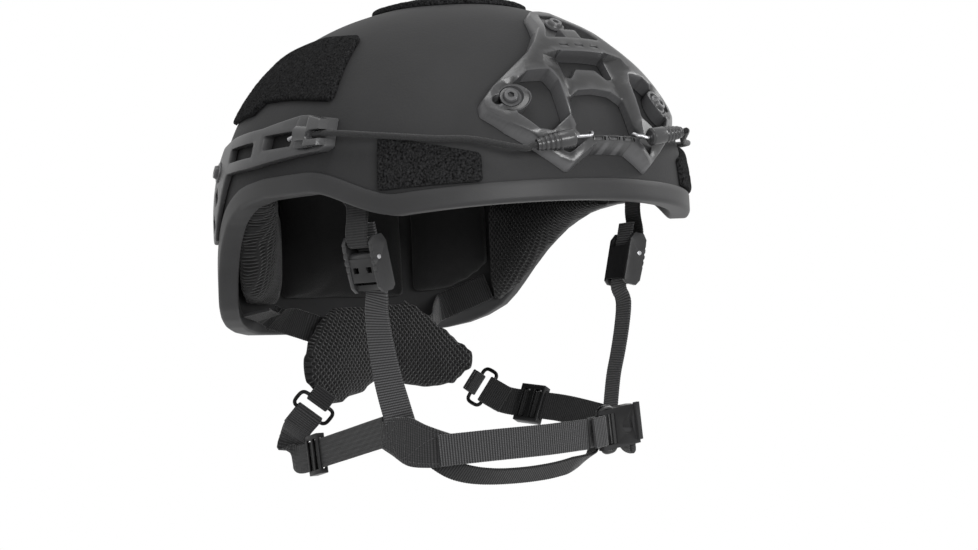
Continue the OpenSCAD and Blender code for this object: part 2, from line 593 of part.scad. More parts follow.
// side wall seen from the side: y outwards, z up, with grip ribs along its outer edge
module ear_profile() {
    difference() {
        polygon([[-3.2, -buckle_h / 2 + 2], [-1, -buckle_h / 2], [4.5, -buckle_h / 2], [6.6, -buckle_h / 2 + 3],
            [7.4, 2], [6.8, buckle_h / 2 - 4], [4.5, buckle_h / 2 - 1], [-1, buckle_h / 2 - 1],
            [-3.2, buckle_h / 2 - 5]]);
        for (k = [0 : 4]) translate([7.9, -4 + k * 3.4]) circle(d = 2.2);
    }
}
module cam_frame_right() color("#333436") cam_frame(0);
module cam_frame_left() color("#333436") left() cam_frame(1);

// Cam lever: a face plate on a hub, with two notches
module cam_lever(side) cam_place(side) translate([0, cam_pin_y, cam_pin_z]) rotate([0, 90, 0])
    translate([0, 0, -cam_inner / 2 + seat]) difference() {
        union() {
            cylinder(d = pin_d + 2.8, h = cam_inner - 2 * seat);
            translate([0, 0.4, 0]) cube([buckle_h / 2 - 2.6, 2.6, cam_inner - 2 * seat]);
        }
        translate([0, 0, -1]) cylinder(d = pin_d + 2 * run, h = cam_inner + 2);
        for (z = [1.6, cam_inner - 2 * seat - 1.6 - 4]) translate([4.6, -1, z]) cube([3, 6, 4]);
    }
module cam_lever_right() color("#3b3c3e") cam_lever(0);
module cam_lever_left() color("#3b3c3e") left() cam_lever(1);
module cam_pin(side) cam_place(side) translate([-cam_w / 2, cam_pin_y, cam_pin_z]) rotate([0, 90, 0])
    cylinder(d = pin_d - 0.04, h = cam_w);
module cam_pin_right() color("#8b8d90") cam_pin(0);
module cam_pin_left() color("#8b8d90") left() cam_pin(1);

// Anchor strap from the anchor plate down to a loop round the cam buckle's top bar
loop_r = cam_bar_d / 2 + web_t / 2 + seat;
function anchor_point(p) = let (
        n = normal(rail_screw_at[0][0], rail_screw_at[0][1]),
        flat = unit([-n[1], n[0], 0]))
    skin(rail_screw_at[0][0], rail_screw_at[0][1], anchor_d) + p[0] * cross(flat, n) + p[1] * flat + p[2] * n;
function anchor_route(side) = [anchor_point([slot_at, 0, plate_gauge]), anchor_point([slot_at + 0.4, 0, -0.5]),
    anchor_point([slot_at + 2.5, 0, -2.6]), cam_point(side, [0, 0.5, 34]), cam_point(side, [0, 1.5, 26]),
    cam_point(side, [0, cam_bar_y + loop_r, cam_bar_z + 5]),
    each [for (a = [0 : 45 : 180]) cam_point(side, [0, cam_bar_y + loop_r * cos(a), cam_bar_z - loop_r * sin(a)])],
    cam_point(side, [0, cam_bar_y - loop_r, cam_bar_z + 2])];
cam_across = [cos(cam_turn), sin(cam_turn), 0];
module anchor_strap(side) webbing(anchor_route(side), [for (k = [0 : len(anchor_route(side)) - 1])
    mix([-0.25, 0.97, 0], cam_across, min(k / 4, 1))]);
module anchor_strap_right() color("#39393b") anchor_strap(0);
module anchor_strap_left() color("#39393b") left() anchor_strap(1);

// Front strap from the cam buckle down to the junction
strap_hang = [
    [[-84.5, -52.5, -52], [-81.5, -50.8, -68], [-78, -50.2, -84], [-74, -49.5, -97], [-71.5, -49, -104]],
    [[-83, -46.5, -48], [-81, -46.5, -62], [-78, -45.5, -77], [-75, -44.5, -90], [-72, -45, -105.3]]];
strap_low_across = [[-0.72, 0.69, 0], [-0.2, 0.98, 0]];
function strap_route(side) = [cam_point(side, [0, -1, 20]), cam_point(side, [0, -1, 10]),
    cam_point(side, [0, -0.6, 3]), cam_point(side, [0, 0, -6]), cam_point(side, [0, 0, -16]),
    each strap_hang[side]];
function strap_across(side) = [for (k = [0 : 9]) mix(cam_across, strap_low_across[side], ease(k, 4, 9))];
module front_strap(side) webbing(strap_route(side), strap_across(side));
module front_strap_right() color("#46474a") front_strap(0);
module front_strap_left() color("#46474a") left() front_strap(1);

// Junction: the stitched piece in which front, rear and chin straps meet, bent round the jaw
function jaw_x(y) = -(74 - pow(max(-38 - y, 0), 2) / 110);
junction_top = [[-38, -106.5], [-48, -105.5], [-58, -105.7], [-67, -109.8], [-78, -114.3]];
junction_low = [[-37.6, -121.5], [-46, -125], [-56, -130.2], [-67, -131.4], [-78, -130.8]];
module junction() {
    function grid(d) = [for (f = [0, 0.5, 1]) [for (k = [4 : -1 : 0])
        let (p = mix(junction_low[k], junction_top[k], f), slope = max(-38 - p[0], 0) / 55)
        [jaw_x(p[0]), p[0], p[1]] + unit([-1, -slope, 0]) * d]];
    slab(grid(-1.1 * web_t), grid(1.1 * web_t));
}
module junction_right() color("#3f4043") junction();
module junction_left() color("#3f4043") left() junction();

// Rear straps from the junctions back to the nape rings, where they turn round the ring and come back
ring_d = 2.4;
ring_deep = 10;
turn_r = ring_d / 2 + web_t / 2 + seat;
// by side [right, left]: the last point before the ring, the way to the ring, and the direction of the width there
ring_from = [[-65.9, 62.2, -111.6], [55.9, 31.7, -101.2]];
ring_way = [unit([4.2, -7.5, 8.5]), unit([-4, 13.5, 7])];
ring_width = [[-0.75, 0.3, 0.6], [0.25, 0.25, 0.94]];
ring_reach = [11, 13];
function ring_wide(k) = unit(ring_width[k] - ring_way[k] * (ring_width[k] * ring_way[k]));
function ring_side(k) = cross(ring_way[k], ring_wide(k));
function ring_wire(k) = ring_from[k] + ring_way[k] * ring_reach[k];
function ring_turn(k) = [for (p = [[-4, 1.6], [-2, turn_r], each [for (a = [90 : -45 : -90]) [turn_r * cos(a), turn_r * sin(a)]],
    [-3, -turn_r], [-8, -1.7], [-ring_reach[k] - 1, -1.3]]) ring_wire(k) + ring_way[k] * p[0] + ring_side(k) * p[1]];
rear_route_right = concat([[-74.3, -36.2, -113.5], [-72.5, -20, -116], [-70, 2, -119.5], [-68, 22, -122.6],
    [-66.2, 41, -125.8], [-64.4, 60, -129], [-63.7, 70, -128.3], [-63, 74.5, -124], [-62.4, 72.5, -117.5]],
    [ring_from[0] + ring_side(0) * 0.9], ring_turn(0));
rear_across_right = [for (k = [0 : len(rear_route_right) - 1]) mix([0, 0.15, 1], ring_wide(0), ease(k, 5, 9))];
module rear_strap_right() color("#3f4043") webbing(rear_route_right, rear_across_right);
ring_meet_left = ring_from[1] + ring_side(1) * 0.9;
slider_from_left = [70, -4, -106.5];
rear_route_left = concat([[74.2, -36.4, -113], [72, -20, -109.7], slider_from_left, mix(slider_from_left, ring_meet_left, 0.3),
    mix(slider_from_left, ring_meet_left, 0.54), ring_meet_left], ring_turn(1));
rear_across_left = [for (k = [0 : len(rear_route_left) - 1]) mix([0, 0.1, 1], ring_wide(1), ease(k, 0, 2))];
module rear_strap_left() color("#2c2c2e") webbing(rear_route_left, rear_across_left);

// Three-bar sliders of the rear straps: x along the strap, y across it, z through it
module slider(long, high, thick) difference() {
    translate([-long / 2, -high / 2, -thick / 2]) cube([long, high, thick]);
    for (s = [-1, 1]) translate([s * long * 0.24, 0, 0]) cube([long * 0.3, web_w + 1, 3 * thick], center = true);
    translate([0, 0, 0]) cube([2 * long, web_w + 1, web_t + 2 * seat], center = true);
}
module seated_on(route, across, k) {
    x = heading(route, k);
    z = unit(cross(x, across[k]));
    y = cross(z, x);
    multmatrix([[x[0], y[0], z[0], route[k][0]], [x[1], y[1], z[1], route[k][1]], [x[2], y[2], z[2], route[k][2]]])
        children();
}
module rear_slider_right() color("#5d5e61") seated_on(rear_route_right, rear_across_right, 4)
    slider(14, web_w + 6, 5);
module rear_slider_left() color("#2c2d2f") seated_on(rear_route_left, rear_across_left, 4)
    slider(16, web_w + 6, 6);

// Rings that join the rear straps to the nape pad: the strap lies round the near wire and the pad's tab round the far one
module nape_ring(k) {
    sides = 8;
    r = 3;
    bends = [for (c = [0 : 3], a = [0, 30, 60, 90]) [c, a + 90 * c]];
    n = len(bends);
    points = [for (b = bends) let (
            out = ring_wide(k) * cos(b[1]) + ring_way[k] * sin(b[1]),
            p = ring_wire(k) + ring_way[k] * ring_deep / 2 + out * r
                + ring_wide(k) * (web_w / 2 + 3 - r) * (b[0] == 0 || b[0] == 3 ? 1 : -1)
                + ring_way[k] * (ring_deep / 2 - r) * (b[0] < 2 ? 1 : -1))
        each [for (j = [0 : sides - 1]) p + (out * cos(360 * j / sides) + ring_side(k) * sin(360 * j / sides)) * ring_d / 2]];
    faces = [for (i = [0 : n - 1], j = [0 : sides - 1]) let (
            a = sides * i + j, b = sides * i + (j + 1) % sides, c = sides * ((i + 1) % n) + (j + 1) % sides,
            e = sides * ((i + 1) % n) + j)
        each [[a, c, b], [a, e, c]]];
    polyhedron(points, faces);
}
module nape_ring_right() color("#3a3b3d") nape_ring(0);
module nape_ring_left() color("#3a3b3d") nape_ring(1);

// Tabs of the nape pad, each round the far wire of its ring: tab_to is where the tab leaves the pad
tab_to = [[-49, 42.5, -88], [42, 46.5, -86]];
tab_len = 7;
function tab_route(k) = let (
        wire = ring_wire(k) + ring_way[k] * ring_deep,
        way = tab_to[k] - wire,
        out = unit(way - ring_wide(k) * (way * ring_wide(k))),
        flat = cross(out, ring_wide(k)))
    [for (p = [[tab_len, 0.9], each [for (a = [90 : 45 : 270]) turn_r * [cos(a), sin(a)]], [tab_len, -0.9]])
        wire + out * p[0] + flat * p[1]];
module nape_tab(k) webbing(tab_route(k), [for (i = [0 : 6]) ring_wide(k)], web_w - 3);
module nape_tab_right() color("#2c2c2e") nape_tab(0);
module nape_tab_left() color("#2c2c2e") nape_tab(1);

// Where the magnetic buckle sits, and the sizes of its plates and of the key that guides them
buckle_at = [48.5, -85.2, -115.4];
buckle_turn = 9;
buckle_tilt = -6;
base_len = 17.6;
slide_len = 18;
bar_out = 10;
key_w = 7;
key_h = 1.4;

// Chin bands
band_route = [[-60, -79.4, -122.3], [-53, -83.5, -121.8], [-40, -88.8, -121], [-25, -92, -120.4],
    [-8, -93.2, -119.8], [8, -92.5, -119], [18, -91, -118.6]];
module chin_band_upper() color("#3f4043") webbing(smooth(band_route, 2), [for (k = [0 : 14]) [0, 0, 1]]);
under_route = [[-61.8, -68, -127], [-56, -71, -131.8], [-46, -73, -135.7], [-32, -75, -137.7], [-14, -76, -138],
    [4, -76.5, -136.6], [18, -77, -134.2], [28, -78.5, -131.2]];
under_across = [for (k = [0 : 14]) mix([0.3, -0.7, 0.6], [0.1, -0.6, 0.8], ease(k, 5, 13))];
module chin_band_lower() color("#29292b") webbing(smooth(under_route, 2), under_across, 12);

// Magnetic buckle: x along the band, y towards the face, z up
module buckle_place() translate(buckle_at) rotate([0, buckle_tilt, buckle_turn]) children();
module buckle_base() color("#2b2c2e") buckle_place() difference() {
    translate([-slide_len / 2 + 1, plate_t / 2 + seat, -plate_h / 2]) cube([base_len, plate_t, plate_h]);
    translate([-key_w / 2 - seat, plate_t / 2 + seat - 1, -plate_h]) cube([key_w + 2 * seat, key_h + 1 + seat, 2 * plate_h]);
    translate([0, plate_t * 1.5 + seat + tiny, 0]) rotate([90, 0, 0]) cylinder(d = magnet_d + 0.1, h = 1.6 + tiny);
    translate([base_len - slide_len / 2 - 5, 0, -web_w / 2 - 1]) cube([3, 3 * plate_t, web_w + 2]);
}
module buckle_slide() color("#242527") buckle_place() {
    difference() {
        union() {
            translate([-slide_len / 2, -plate_t / 2, -plate_h / 2]) cube([slide_len, plate_t, plate_h]);
            translate([-key_w / 2, plate_t / 2 - tiny, -plate_h / 2]) cube([key_w, key_h + seat, plate_h]);
            translate([slide_len / 2 - 3, -plate_t / 2 - 2, -plate_h / 2 + 2]) cube([3, 2 + tiny, plate_h - 1]);
        }
        translate([0, -plate_t / 2 - tiny, 0]) rotate([-90, 0, 0]) cylinder(d = magnet_d + 0.1, h = 1.6);
    }
    for (s = [-1, 1]) translate([bar_x - 1, -plate_t / 2, s * (plate_h / 2 - 1.2) - 1.2])
        cube([bar_out + 1 + tiny, plate_t, 2.4]);
    translate([bar_x, 0, -plate_h / 2 + tiny]) cylinder(d = 3.2, h = plate_h - 2 * tiny);
}
module base_magnet() color("#9b9da0") buckle_place() translate([0, plate_t * 1.5 + seat, 0]) rotate([90, 0, 0])
    cylinder(d = magnet_d, h = 1.5);
module slide_magnet() color("#9b9da0") buckle_place() translate([0, -plate_t / 2, 0]) rotate([-90, 0, 0])
    cylinder(d = magnet_d, h = 1.5);

// End loop of the chin band round the sliding half's bar
chin_loop_r = 1.6 + web_t / 2 + seat;
function buckle_point(p) = let (
        x = p[0] * cos(buckle_tilt) + p[2] * sin(buckle_tilt),
        z = p[2] * cos(buckle_tilt) - p[0] * sin(buckle_tilt))
    buckle_at + [x * cos(buckle_turn) - p[1] * sin(buckle_turn), x * sin(buckle_turn) + p[1] * cos(buckle_turn), z];
bar_x = -slide_len / 2 - bar_out;
chin_loop_route = [for (p = [[bar_x - 9, -chin_loop_r - 0.9], [bar_x - 4, -chin_loop_r - 0.3],
    each [for (a = [-90 : 45 : 90]) [bar_x + chin_loop_r * cos(a), chin_loop_r * sin(a)]],
    [bar_x - 4, chin_loop_r - 0.2], [bar_x - 8.5, 1.6]]) buckle_point([p[0], p[1], 0])];
module chin_loop() color("#2f2f31") webbing(chin_loop_route, [for (k = [0 : 8]) buckle_point([0, 0, 1]) - buckle_at]);

shell();
edge_trim();
mount_frame();
frame_screws();
rail_right();
rail_left();
rail_screws();
insert_nuts();
cord_clip_right();
cord_clip_left();
shock_cord_right();
shock_cord_left();
cord_barrel_right();
cord_barrel_left();
cord_hook_right();
cord_hook_left();
patch_crown();
patch_rear_right();
patch_rear_left();
patch_front_right();
patch_front_left();
pad_crown();
pad_front();
pad_rear();
pad_back();
pad_side_right();
pad_side_left();
pad_mesh_right();
pad_mesh_left();
nape_pad();
nape_hanger_right();
nape_hanger_left();
strap_anchors();
anchor_strap_right();
anchor_strap_left();
cam_frame_right();
cam_frame_left();
cam_lever_right();
cam_lever_left();
cam_pin_right();
cam_pin_left();
front_strap_right();
front_strap_left();
junction_right();
junction_left();
rear_strap_right();
rear_strap_left();
rear_slider_right();
rear_slider_left();
nape_ring_right();
nape_ring_left();
nape_tab_right();
nape_tab_left();
chin_band_upper();
chin_band_lower();
chin_loop();
buckle_base();
buckle_slide();
base_magnet();
slide_magnet();
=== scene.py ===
import math

import bpy
import numpy as np
from mathutils import Matrix
from mathutils.geometry import delaunay_2d_cdt


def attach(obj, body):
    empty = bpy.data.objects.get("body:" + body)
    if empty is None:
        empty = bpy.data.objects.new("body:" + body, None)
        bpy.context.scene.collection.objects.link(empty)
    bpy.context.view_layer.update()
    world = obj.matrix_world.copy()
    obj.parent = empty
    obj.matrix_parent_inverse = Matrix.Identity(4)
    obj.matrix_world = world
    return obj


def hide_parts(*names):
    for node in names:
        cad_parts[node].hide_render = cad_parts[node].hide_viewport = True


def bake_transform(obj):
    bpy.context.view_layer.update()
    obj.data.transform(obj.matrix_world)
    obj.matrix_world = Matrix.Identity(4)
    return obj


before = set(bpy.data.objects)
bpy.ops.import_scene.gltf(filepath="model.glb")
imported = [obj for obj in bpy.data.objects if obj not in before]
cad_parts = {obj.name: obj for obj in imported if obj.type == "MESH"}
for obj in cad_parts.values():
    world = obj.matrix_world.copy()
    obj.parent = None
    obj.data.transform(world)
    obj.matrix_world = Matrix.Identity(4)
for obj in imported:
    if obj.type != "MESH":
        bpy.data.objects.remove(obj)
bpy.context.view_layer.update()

# Looks of a high-cut combat helmet. Sizes are in millimetres until an object is made.
# The wearer faces -Y, the wearer's left is +X, and Z = 0 is the brim's lower edge.
MM = 0.001

# Sizes shared with the solids
SHELL_LEN, SHELL_W, CROWN = 278.0, 238.0, 118.0
WIDEST_BACK = 2.0
FRONT_LEN = SHELL_LEN / 2 + WIDEST_BACK
REAR_LEN = SHELL_LEN / 2 - WIDEST_BACK
PLAN_POWER, FRONT_ROUND, SIDE_ROUND, REAR_ROUND = 2.13, 2.2, 2.12, 2.39
WALL, TRIM_H, TRIM_T, SEAT = 8.0, 9.0, 1.5, 0.3
NAPE_DROP, ARCH_RISE, TEMPLE_DIP = 58.0, 10.0, 5.0
TEMPLE_AT, DIP_POWER, ARCH_FROM, ARCH_TO = 46.0, 1.8, 45.5, 71.0
NAPE_CURVE = [[88, 0], [96, 0.024], [100, 0.047], [105, 0.103], [109, 0.162], [113, 0.25], [116.5, 0.338],
              [121, 0.485], [124.5, 0.618], [127, 0.71], [130, 0.8], [135, 0.885], [140, 0.94], [146, 0.978],
              [153, 1]]
SCREW_SEAT_T, FRAME_T, ARM_THIN = 4.5, 9.5, 3.5
FRAME_RISE = math.radians(90 - 35)
RAIL_T, RAIL_THIN, CLIP_T = 6.5, 3.4, 5.5
PLATE_SEAT, FLOOR_SEAT = 0.5, 0.6
PATCH_SEAT, PATCH_T = 0.4, 2.6
CORD_D, WIRE_D = 3.2, 1.8
WEB_W, WEB_T = 16.0, 1.4

# Looks of the webbing: its bars, yarns and ribs
WEAVE, YARN, RIB, RIB_HEIGHT = 1.35, 0.9, 2.4, 0.09
SIDES = ("right", "left")


# Plain helpers

def unit(v):
    v = np.asarray(v, float)
    return v / np.linalg.norm(v, axis=-1, keepdims=True)


def mix(a, b, f):
    return np.asarray(a, float) * (1 - f) + np.asarray(b, float) * f


def ease(x, a, b):
    f = np.clip((np.asarray(x, float) - a) / (b - a), 0, 1)
    return f * f * (3 - 2 * f)


def off_front(t):
    return np.abs((np.asarray(t, float) + 180) % 360 - 180)


def on_curve(x, points):
    """The height at x of a curve given by a few points."""
    places, heights = np.transpose(points)
    return np.interp(x, places, heights)


def polar(r, angles):
    """Points round the origin at a distance r, their angles in radians."""
    return r * np.stack([np.cos(angles), np.sin(angles)], -1)


def box(x0, x1, y0, y1):
    return np.array([[x0, y0], [x1, y0], [x1, y1], [x0, y1]], float)


def run_of(line):
    """How far along a line each of its points lies."""
    return np.concatenate([[0], np.cumsum(np.linalg.norm(np.diff(line, axis=0), axis=1))])


def at_run(s, run, line):
    """Points of a line at given distances along it."""
    return np.stack([np.interp(s, run, line[:, k]) for k in range(3)], -1)


def turning(a, b, start, end, count):
    """Directions that turn from a to b between two places of a route."""
    return [mix(a, b, float(ease(k, start, end))) for k in range(count)]


def smooth(points, n):
    """A smooth route through chosen points, with n steps between two of them."""
    p = np.asarray(points, float)
    out = []
    for i in range(len(p) - 1):
        a, b, c, d = p[max(i - 1, 0)], p[i], p[i + 1], p[min(i + 2, len(p) - 1)]
        for f in np.arange(n) / n:
            out.append(0.5 * (2 * b + (c - a) * f + (2 * a - 5 * b + 4 * c - d) * f * f
                              + (3 * b - 3 * c + d - a) * f ** 3))
    return np.array(out + [p[-1]])


# The shell's outer surface: t is the angle from the front towards +X, z the height, d the distance outwards

def plan_r(t):
    s, c = np.sin(np.radians(t)), np.cos(np.radians(t))
    length = np.where(c > 0, FRONT_LEN, REAR_LEN)
    return (np.abs(s / (SHELL_W / 2)) ** PLAN_POWER + np.abs(c / length) ** PLAN_POWER) ** (-1 / PLAN_POWER)


def round_at(t):
    s, c = np.sin(np.radians(t)), np.cos(np.radians(t))
    return FRONT_ROUND * np.clip(c, 0, 1) ** 2 + REAR_ROUND * np.clip(-c, 0, 1) ** 2 + SIDE_ROUND * s * s


def rho(t, z):
    m = round_at(t)
    return plan_r(t) * np.clip(1 - (np.clip(z, 0, CROWN) / CROWN) ** m, 0, 1) ** (1 / m)


def normal(t, z):
    s, c, m, r = np.sin(np.radians(t)), np.cos(np.radians(t)), round_at(t), plan_r(t)
    turn = (plan_r(t + 0.5) - plan_r(t - 0.5)) / (np.pi / 180) / r
    up = np.clip(z, 1e-6, CROWN)
    lift = np.where(z <= 0, 0, np.maximum(rho(t, z), 0.001) ** (1 - m) * r ** m * up ** (m - 1) / CROWN ** m)
    return unit(np.stack([s - turn * c, -c - turn * s, lift], -1))


def skin(t, z, d):
    t, z, d = np.broadcast_arrays(np.asarray(t, float), np.asarray(z, float), np.asarray(d, float))
    s, c, r = np.sin(np.radians(t)), np.cos(np.radians(t)), rho(t, z)
    return np.stack([r * s, WIDEST_BACK - r * c, z], -1) + normal(t, z) * d[..., None]


def rim_z(t):
    a = off_front(t)
    dip = TEMPLE_DIP * np.minimum(a / TEMPLE_AT, 1) ** DIP_POWER
    arch = (ARCH_RISE + TEMPLE_DIP) * ease(a, ARCH_FROM, ARCH_TO)
    return TRIM_T - dip + arch - (NAPE_DROP + ARCH_RISE) * on_curve(a, NAPE_CURVE)


def angle_of(p):
    return np.degrees(np.arctan2(p[:, 0], WIDEST_BACK - p[:, 1]))


def depth(p):
    """Distance of points from the shell's outer surface, and the normal there."""
    highest = CROWN * 0.999
    t, z = angle_of(p), np.minimum(p[:, 2], highest)
    for _ in range(4):
        n = normal(t, z)
        d = ((p - skin(t, z, 0)) * n).sum(-1)
        q = p - n * d[:, None]
        t, z = angle_of(q), np.minimum(q[:, 2], highest)
    return d, n


# How far from the middle the search along a ray starts
FRONT_START, SIDE_START = 140, 115


def cast(origins, way, d, start):
    """Where rays along one way reach the distance d from the shell."""
    w = np.full(len(origins), float(start))
    for _ in range(7):
        p = origins + w[:, None] * way
        now, n = depth(p)
        w += (d - now) / np.maximum(n @ way, 0.2)
    return origins + w[:, None] * way


def on_front(uv, d):
    """Points of the frame's leaning plane, moved along its depth onto the shell."""
    origins = np.stack([uv[:, 0], uv[:, 1] * math.cos(FRAME_RISE), uv[:, 1] * math.sin(FRAME_RISE)], -1)
    way = np.array([0, -math.sin(FRAME_RISE), math.cos(FRAME_RISE)])
    return cast(origins, way, d, FRONT_START)


def on_side(uv, d):
    """Points of the side view (y, z), moved along X onto the shell's right side."""
    origins = np.stack([0 * uv[:, 0], uv[:, 0], uv[:, 1]], -1)
    return cast(origins, np.array([-1.0, 0, 0]), d, SIDE_START)


# Objects

def to_object(node, part, verts, faces, look, slot, angle, body="helmet", uv=None, replaces=True):
    """A piece of a node, named after both. Edges sharper than angle stay sharp."""
    name = node + "_" + part
    mesh = bpy.data.meshes.new(name)
    mesh.from_pydata((np.asarray(verts) * MM).tolist(), [], [list(map(int, f)) for f in faces])
    if uv is not None:
        layer = mesh.uv_layers.new(name="UVMap")
        index = np.empty(len(mesh.loops), int)
        mesh.loops.foreach_get("vertex_index", index)
        layer.data.foreach_set("uv", np.asarray(uv, float)[index].ravel())
    mesh.validate()
    ob = bpy.data.objects.new(name, mesh)
    bpy.context.scene.collection.objects.link(ob)
    shade(ob, angle)
    dress(ob, look, node if replaces else None, body, slot)
    return ob


def shade(ob, angle):
    ob.data.shade_smooth()
    ob.data.set_sharp_from_angle(angle=math.radians(angle))


def dress(ob, look, node, body, slot):
    """Gives a piece its material, the body that it rides and the node whose place it takes. The slot is not
    used.
    """
    ob.data.materials.clear()
    ob.data.materials.append(look)
    if body:
        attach(ob, body)
    if node:
        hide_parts(node)


def handed(side, points):
    """Points of the right side, mirrored for the left one. side is a place in SIDES."""
    return np.asarray(points) * ([1, 1, 1] if side == 0 else [-1, 1, 1])


def handed_form(side, verts, faces):
    return (verts, faces) if side == 0 else (handed(side, verts), [f[::-1] for f in faces])


def quads(rows, cols, closed=False):
    """Faces of a grid of rows by cols points, its columns closed into a ring where asked."""
    out = []
    for i in range(rows - 1):
        for j in range(cols if closed else cols - 1):
            k = (j + 1) % cols
            out.append([i * cols + j, i * cols + k, (i + 1) * cols + k, (i + 1) * cols + j])
    return out


def apply_modifiers(ob):
    deps = bpy.context.evaluated_depsgraph_get()
    deps.update()
    mesh = bpy.data.meshes.new_from_object(ob.evaluated_get(deps))
    ob.modifiers.clear()
    ob.data = mesh


def copy_of(node, name):
    """A new object with a copy of the node's mesh, to be welded."""
    ob = bpy.data.objects.new(name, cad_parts[node].data.copy())
    bpy.context.scene.collection.objects.link(ob)
    weld = ob.modifiers.new("weld", "WELD")
    weld.merge_threshold = 1e-6
    return ob


def rounded_node(node, look, slot, bevel, body="helmet"):
    """The node's own shape with its edges rounded, or all of it made smoother where bevel is 0."""
    ob = copy_of(node, node + "_form")
    if bevel:
        mod = ob.modifiers.new("bevel", "BEVEL")
        mod.width = bevel * MM
        mod.segments = 2
        mod.limit_method = "ANGLE"
        mod.angle_limit = math.radians(30)
    else:
        sub = ob.modifiers.new("subdivision", "SUBSURF")
        sub.levels = sub.render_levels = 2
    apply_modifiers(ob)
    shade(ob, 45)
    dress(ob, look, node, body, slot)


# Outlines in a plane

def rounded(points, r, n=4):
    """A closed outline with its corners rounded."""
    p = np.asarray(points, float)
    out = []
    for i in range(len(p)):
        a, b, c = p[i - 1], p[i], p[(i + 1) % len(p)]
        u, v = unit(a - b), unit(c - b)
        half = math.acos(np.clip(-(u @ v), -1, 1)) / 2
        reach = min(r * math.tan(half), 0.48 * np.linalg.norm(a - b), 0.48 * np.linalg.norm(c - b))
        if reach < 0.05:
            out.append(b)
            continue
        for f in np.linspace(0, 1, n + 1):
            out.append((1 - f) ** 2 * (b + u * reach) + 2 * f * (1 - f) * b + f * f * (b + v * reach))
    return np.array(out)


def split(line, step):
    """The same polyline with no part longer than step."""
    out = []
    for a, b in zip(line[:-1], line[1:]):
        n = max(1, int(np.ceil(np.linalg.norm(b - a) / step)))
        out += [mix(a, b, k / n) for k in range(n)]
    return np.array(out + [line[-1]])


def filled_in(loop, step):
    """The same outline with no side longer than step."""
    return split(np.concatenate([loop, loop[:1]]), step)[:-1]


def turned(loop, anticlockwise):
    area = np.sum(loop[:, 0] * np.roll(loop[:, 1], -1) - loop[:, 1] * np.roll(loop[:, 0], -1))
    return loop if (area > 0) == anticlockwise else loop[::-1]


def moved_in(loop, dist):
    """An outline moved to its left by dist."""
    side = unit(np.roll(loop, -1, 0) - loop)
    side = np.stack([-side[:, 1], side[:, 0]], -1)
    before = np.roll(side, 1, 0)
    both = side + before
    return loop + dist * both / np.maximum(1 + (side * before).sum(-1), 0.35)[:, None]


def inside(p, loops):
    hit = np.zeros(len(p), bool)
    for loop in loops:
        a, b = loop, np.roll(loop, -1, 0)
        for (x0, y0), (x1, y1) in zip(a, b):
            cross = (y0 > p[:, 1]) != (y1 > p[:, 1])
            if y0 != y1:
                hit ^= cross & (p[:, 0] < (x1 - x0) * (p[:, 1] - y0) / (y1 - y0) + x0)
    return hit


def plate(outer, holes, place, low, high, bevel, step=1.5, grid=3.0, fuzz=0, seed=1, creases=()):
    """A plate between two distances from the shell, with a rounded upper edge. Returns its points and faces."""
    loops = [turned(filled_in(outer, step), True)]
    loops += [turned(filled_in(hole, step), False) for hole in holes]
    tops = [moved_in(loop, bevel) for loop in loops]
    starts = np.cumsum([0] + [len(loop) for loop in loops])
    count = starts[-1]
    lo, hi = tops[0].min(0), tops[0].max(0)
    xs, ys = np.meshgrid(np.arange(lo[0] + grid / 2, hi[0], grid), np.arange(lo[1] + grid / 2, hi[1], grid))
    inner = np.stack([xs.ravel(), ys.ravel()], -1)
    rim = np.concatenate(tops)

    def clear(p):
        far = [np.linalg.norm(rim - q, axis=1).min() > 0.6 * step for q in p]
        return inside(p, tops) & np.array(far, bool)

    inner = inner[clear(inner)]
    edges = [(int(s + k), int(s + (k + 1) % len(loop)))
             for s, loop in zip(starts, loops) for k in range(len(loop))]
    for line in creases:
        at = count + len(inner)
        line = split(line, step)
        kept = clear(line)
        index = at + np.cumsum(kept) - 1
        edges += [(int(index[k]), int(index[k + 1])) for k in range(len(line) - 1) if kept[k] and kept[k + 1]]
        inner = np.concatenate([inner, line[kept]])
    flat = np.concatenate(tops + [inner])
    found = delaunay_2d_cdt([tuple(v) for v in flat], edges, [], 0, 1e-7)
    origin = [o[0] if o else -1 for o in found[3]]
    tris = np.array([[origin[k] for k in f] for f in found[2]])
    tris = tris[(tris >= 0).all(1)]
    tris = tris[inside(flat[tris].mean(1), tops)]
    area = np.cross(flat[tris[:, 1]] - flat[tris[:, 0]], flat[tris[:, 2]] - flat[tris[:, 0]])
    tris = np.where(area[:, None] > 0, tris, tris[:, ::-1])[np.abs(area) > 1e-4]
    rings = [(0.0, low, 0.0), (0.0, high, -bevel), (0.3 * bevel, high, -0.3 * bevel), (bevel, high, 0.0)]
    points = []
    for inset, height, drop in rings:
        uv = np.concatenate([moved_in(loop, inset) for loop in loops])
        points.append((uv, height(uv) + drop))
    points.append((inner, high(inner)))
    points.append((inner, low(inner)))
    if fuzz:
        rng = np.random.default_rng(seed)
        points[4] = (inner, points[4][1] + rng.uniform(-fuzz, fuzz, len(inner)))
    verts = np.concatenate([place(uv, d) for uv, d in points])
    faces = []
    for r in range(3):
        for s, loop in zip(starts, loops):
            for k in range(len(loop)):
                a, b = s + k, s + (k + 1) % len(loop)
                faces.append([r * count + a, r * count + b, (r + 1) * count + b, (r + 1) * count + a])
    up = lambda k: 3 * count + k if k < count else 4 * count + (k - count)
    down = lambda k: k if k < count else 4 * count + len(inner) + (k - count)
    faces += [[up(k) for k in f] for f in tris]
    faces += [[down(k) for k in f[::-1]] for f in tris]
    return verts, faces


def level(d):
    return lambda uv: np.full(len(uv), float(d))


# Materials: lengths in metres, and the share of roundness from which an edge gets lighter, partly as wear and
# partly as a painted highlight
WORN_AND_LIT_FROM, WORN_AND_LIT_TO = 0.505, 0.57


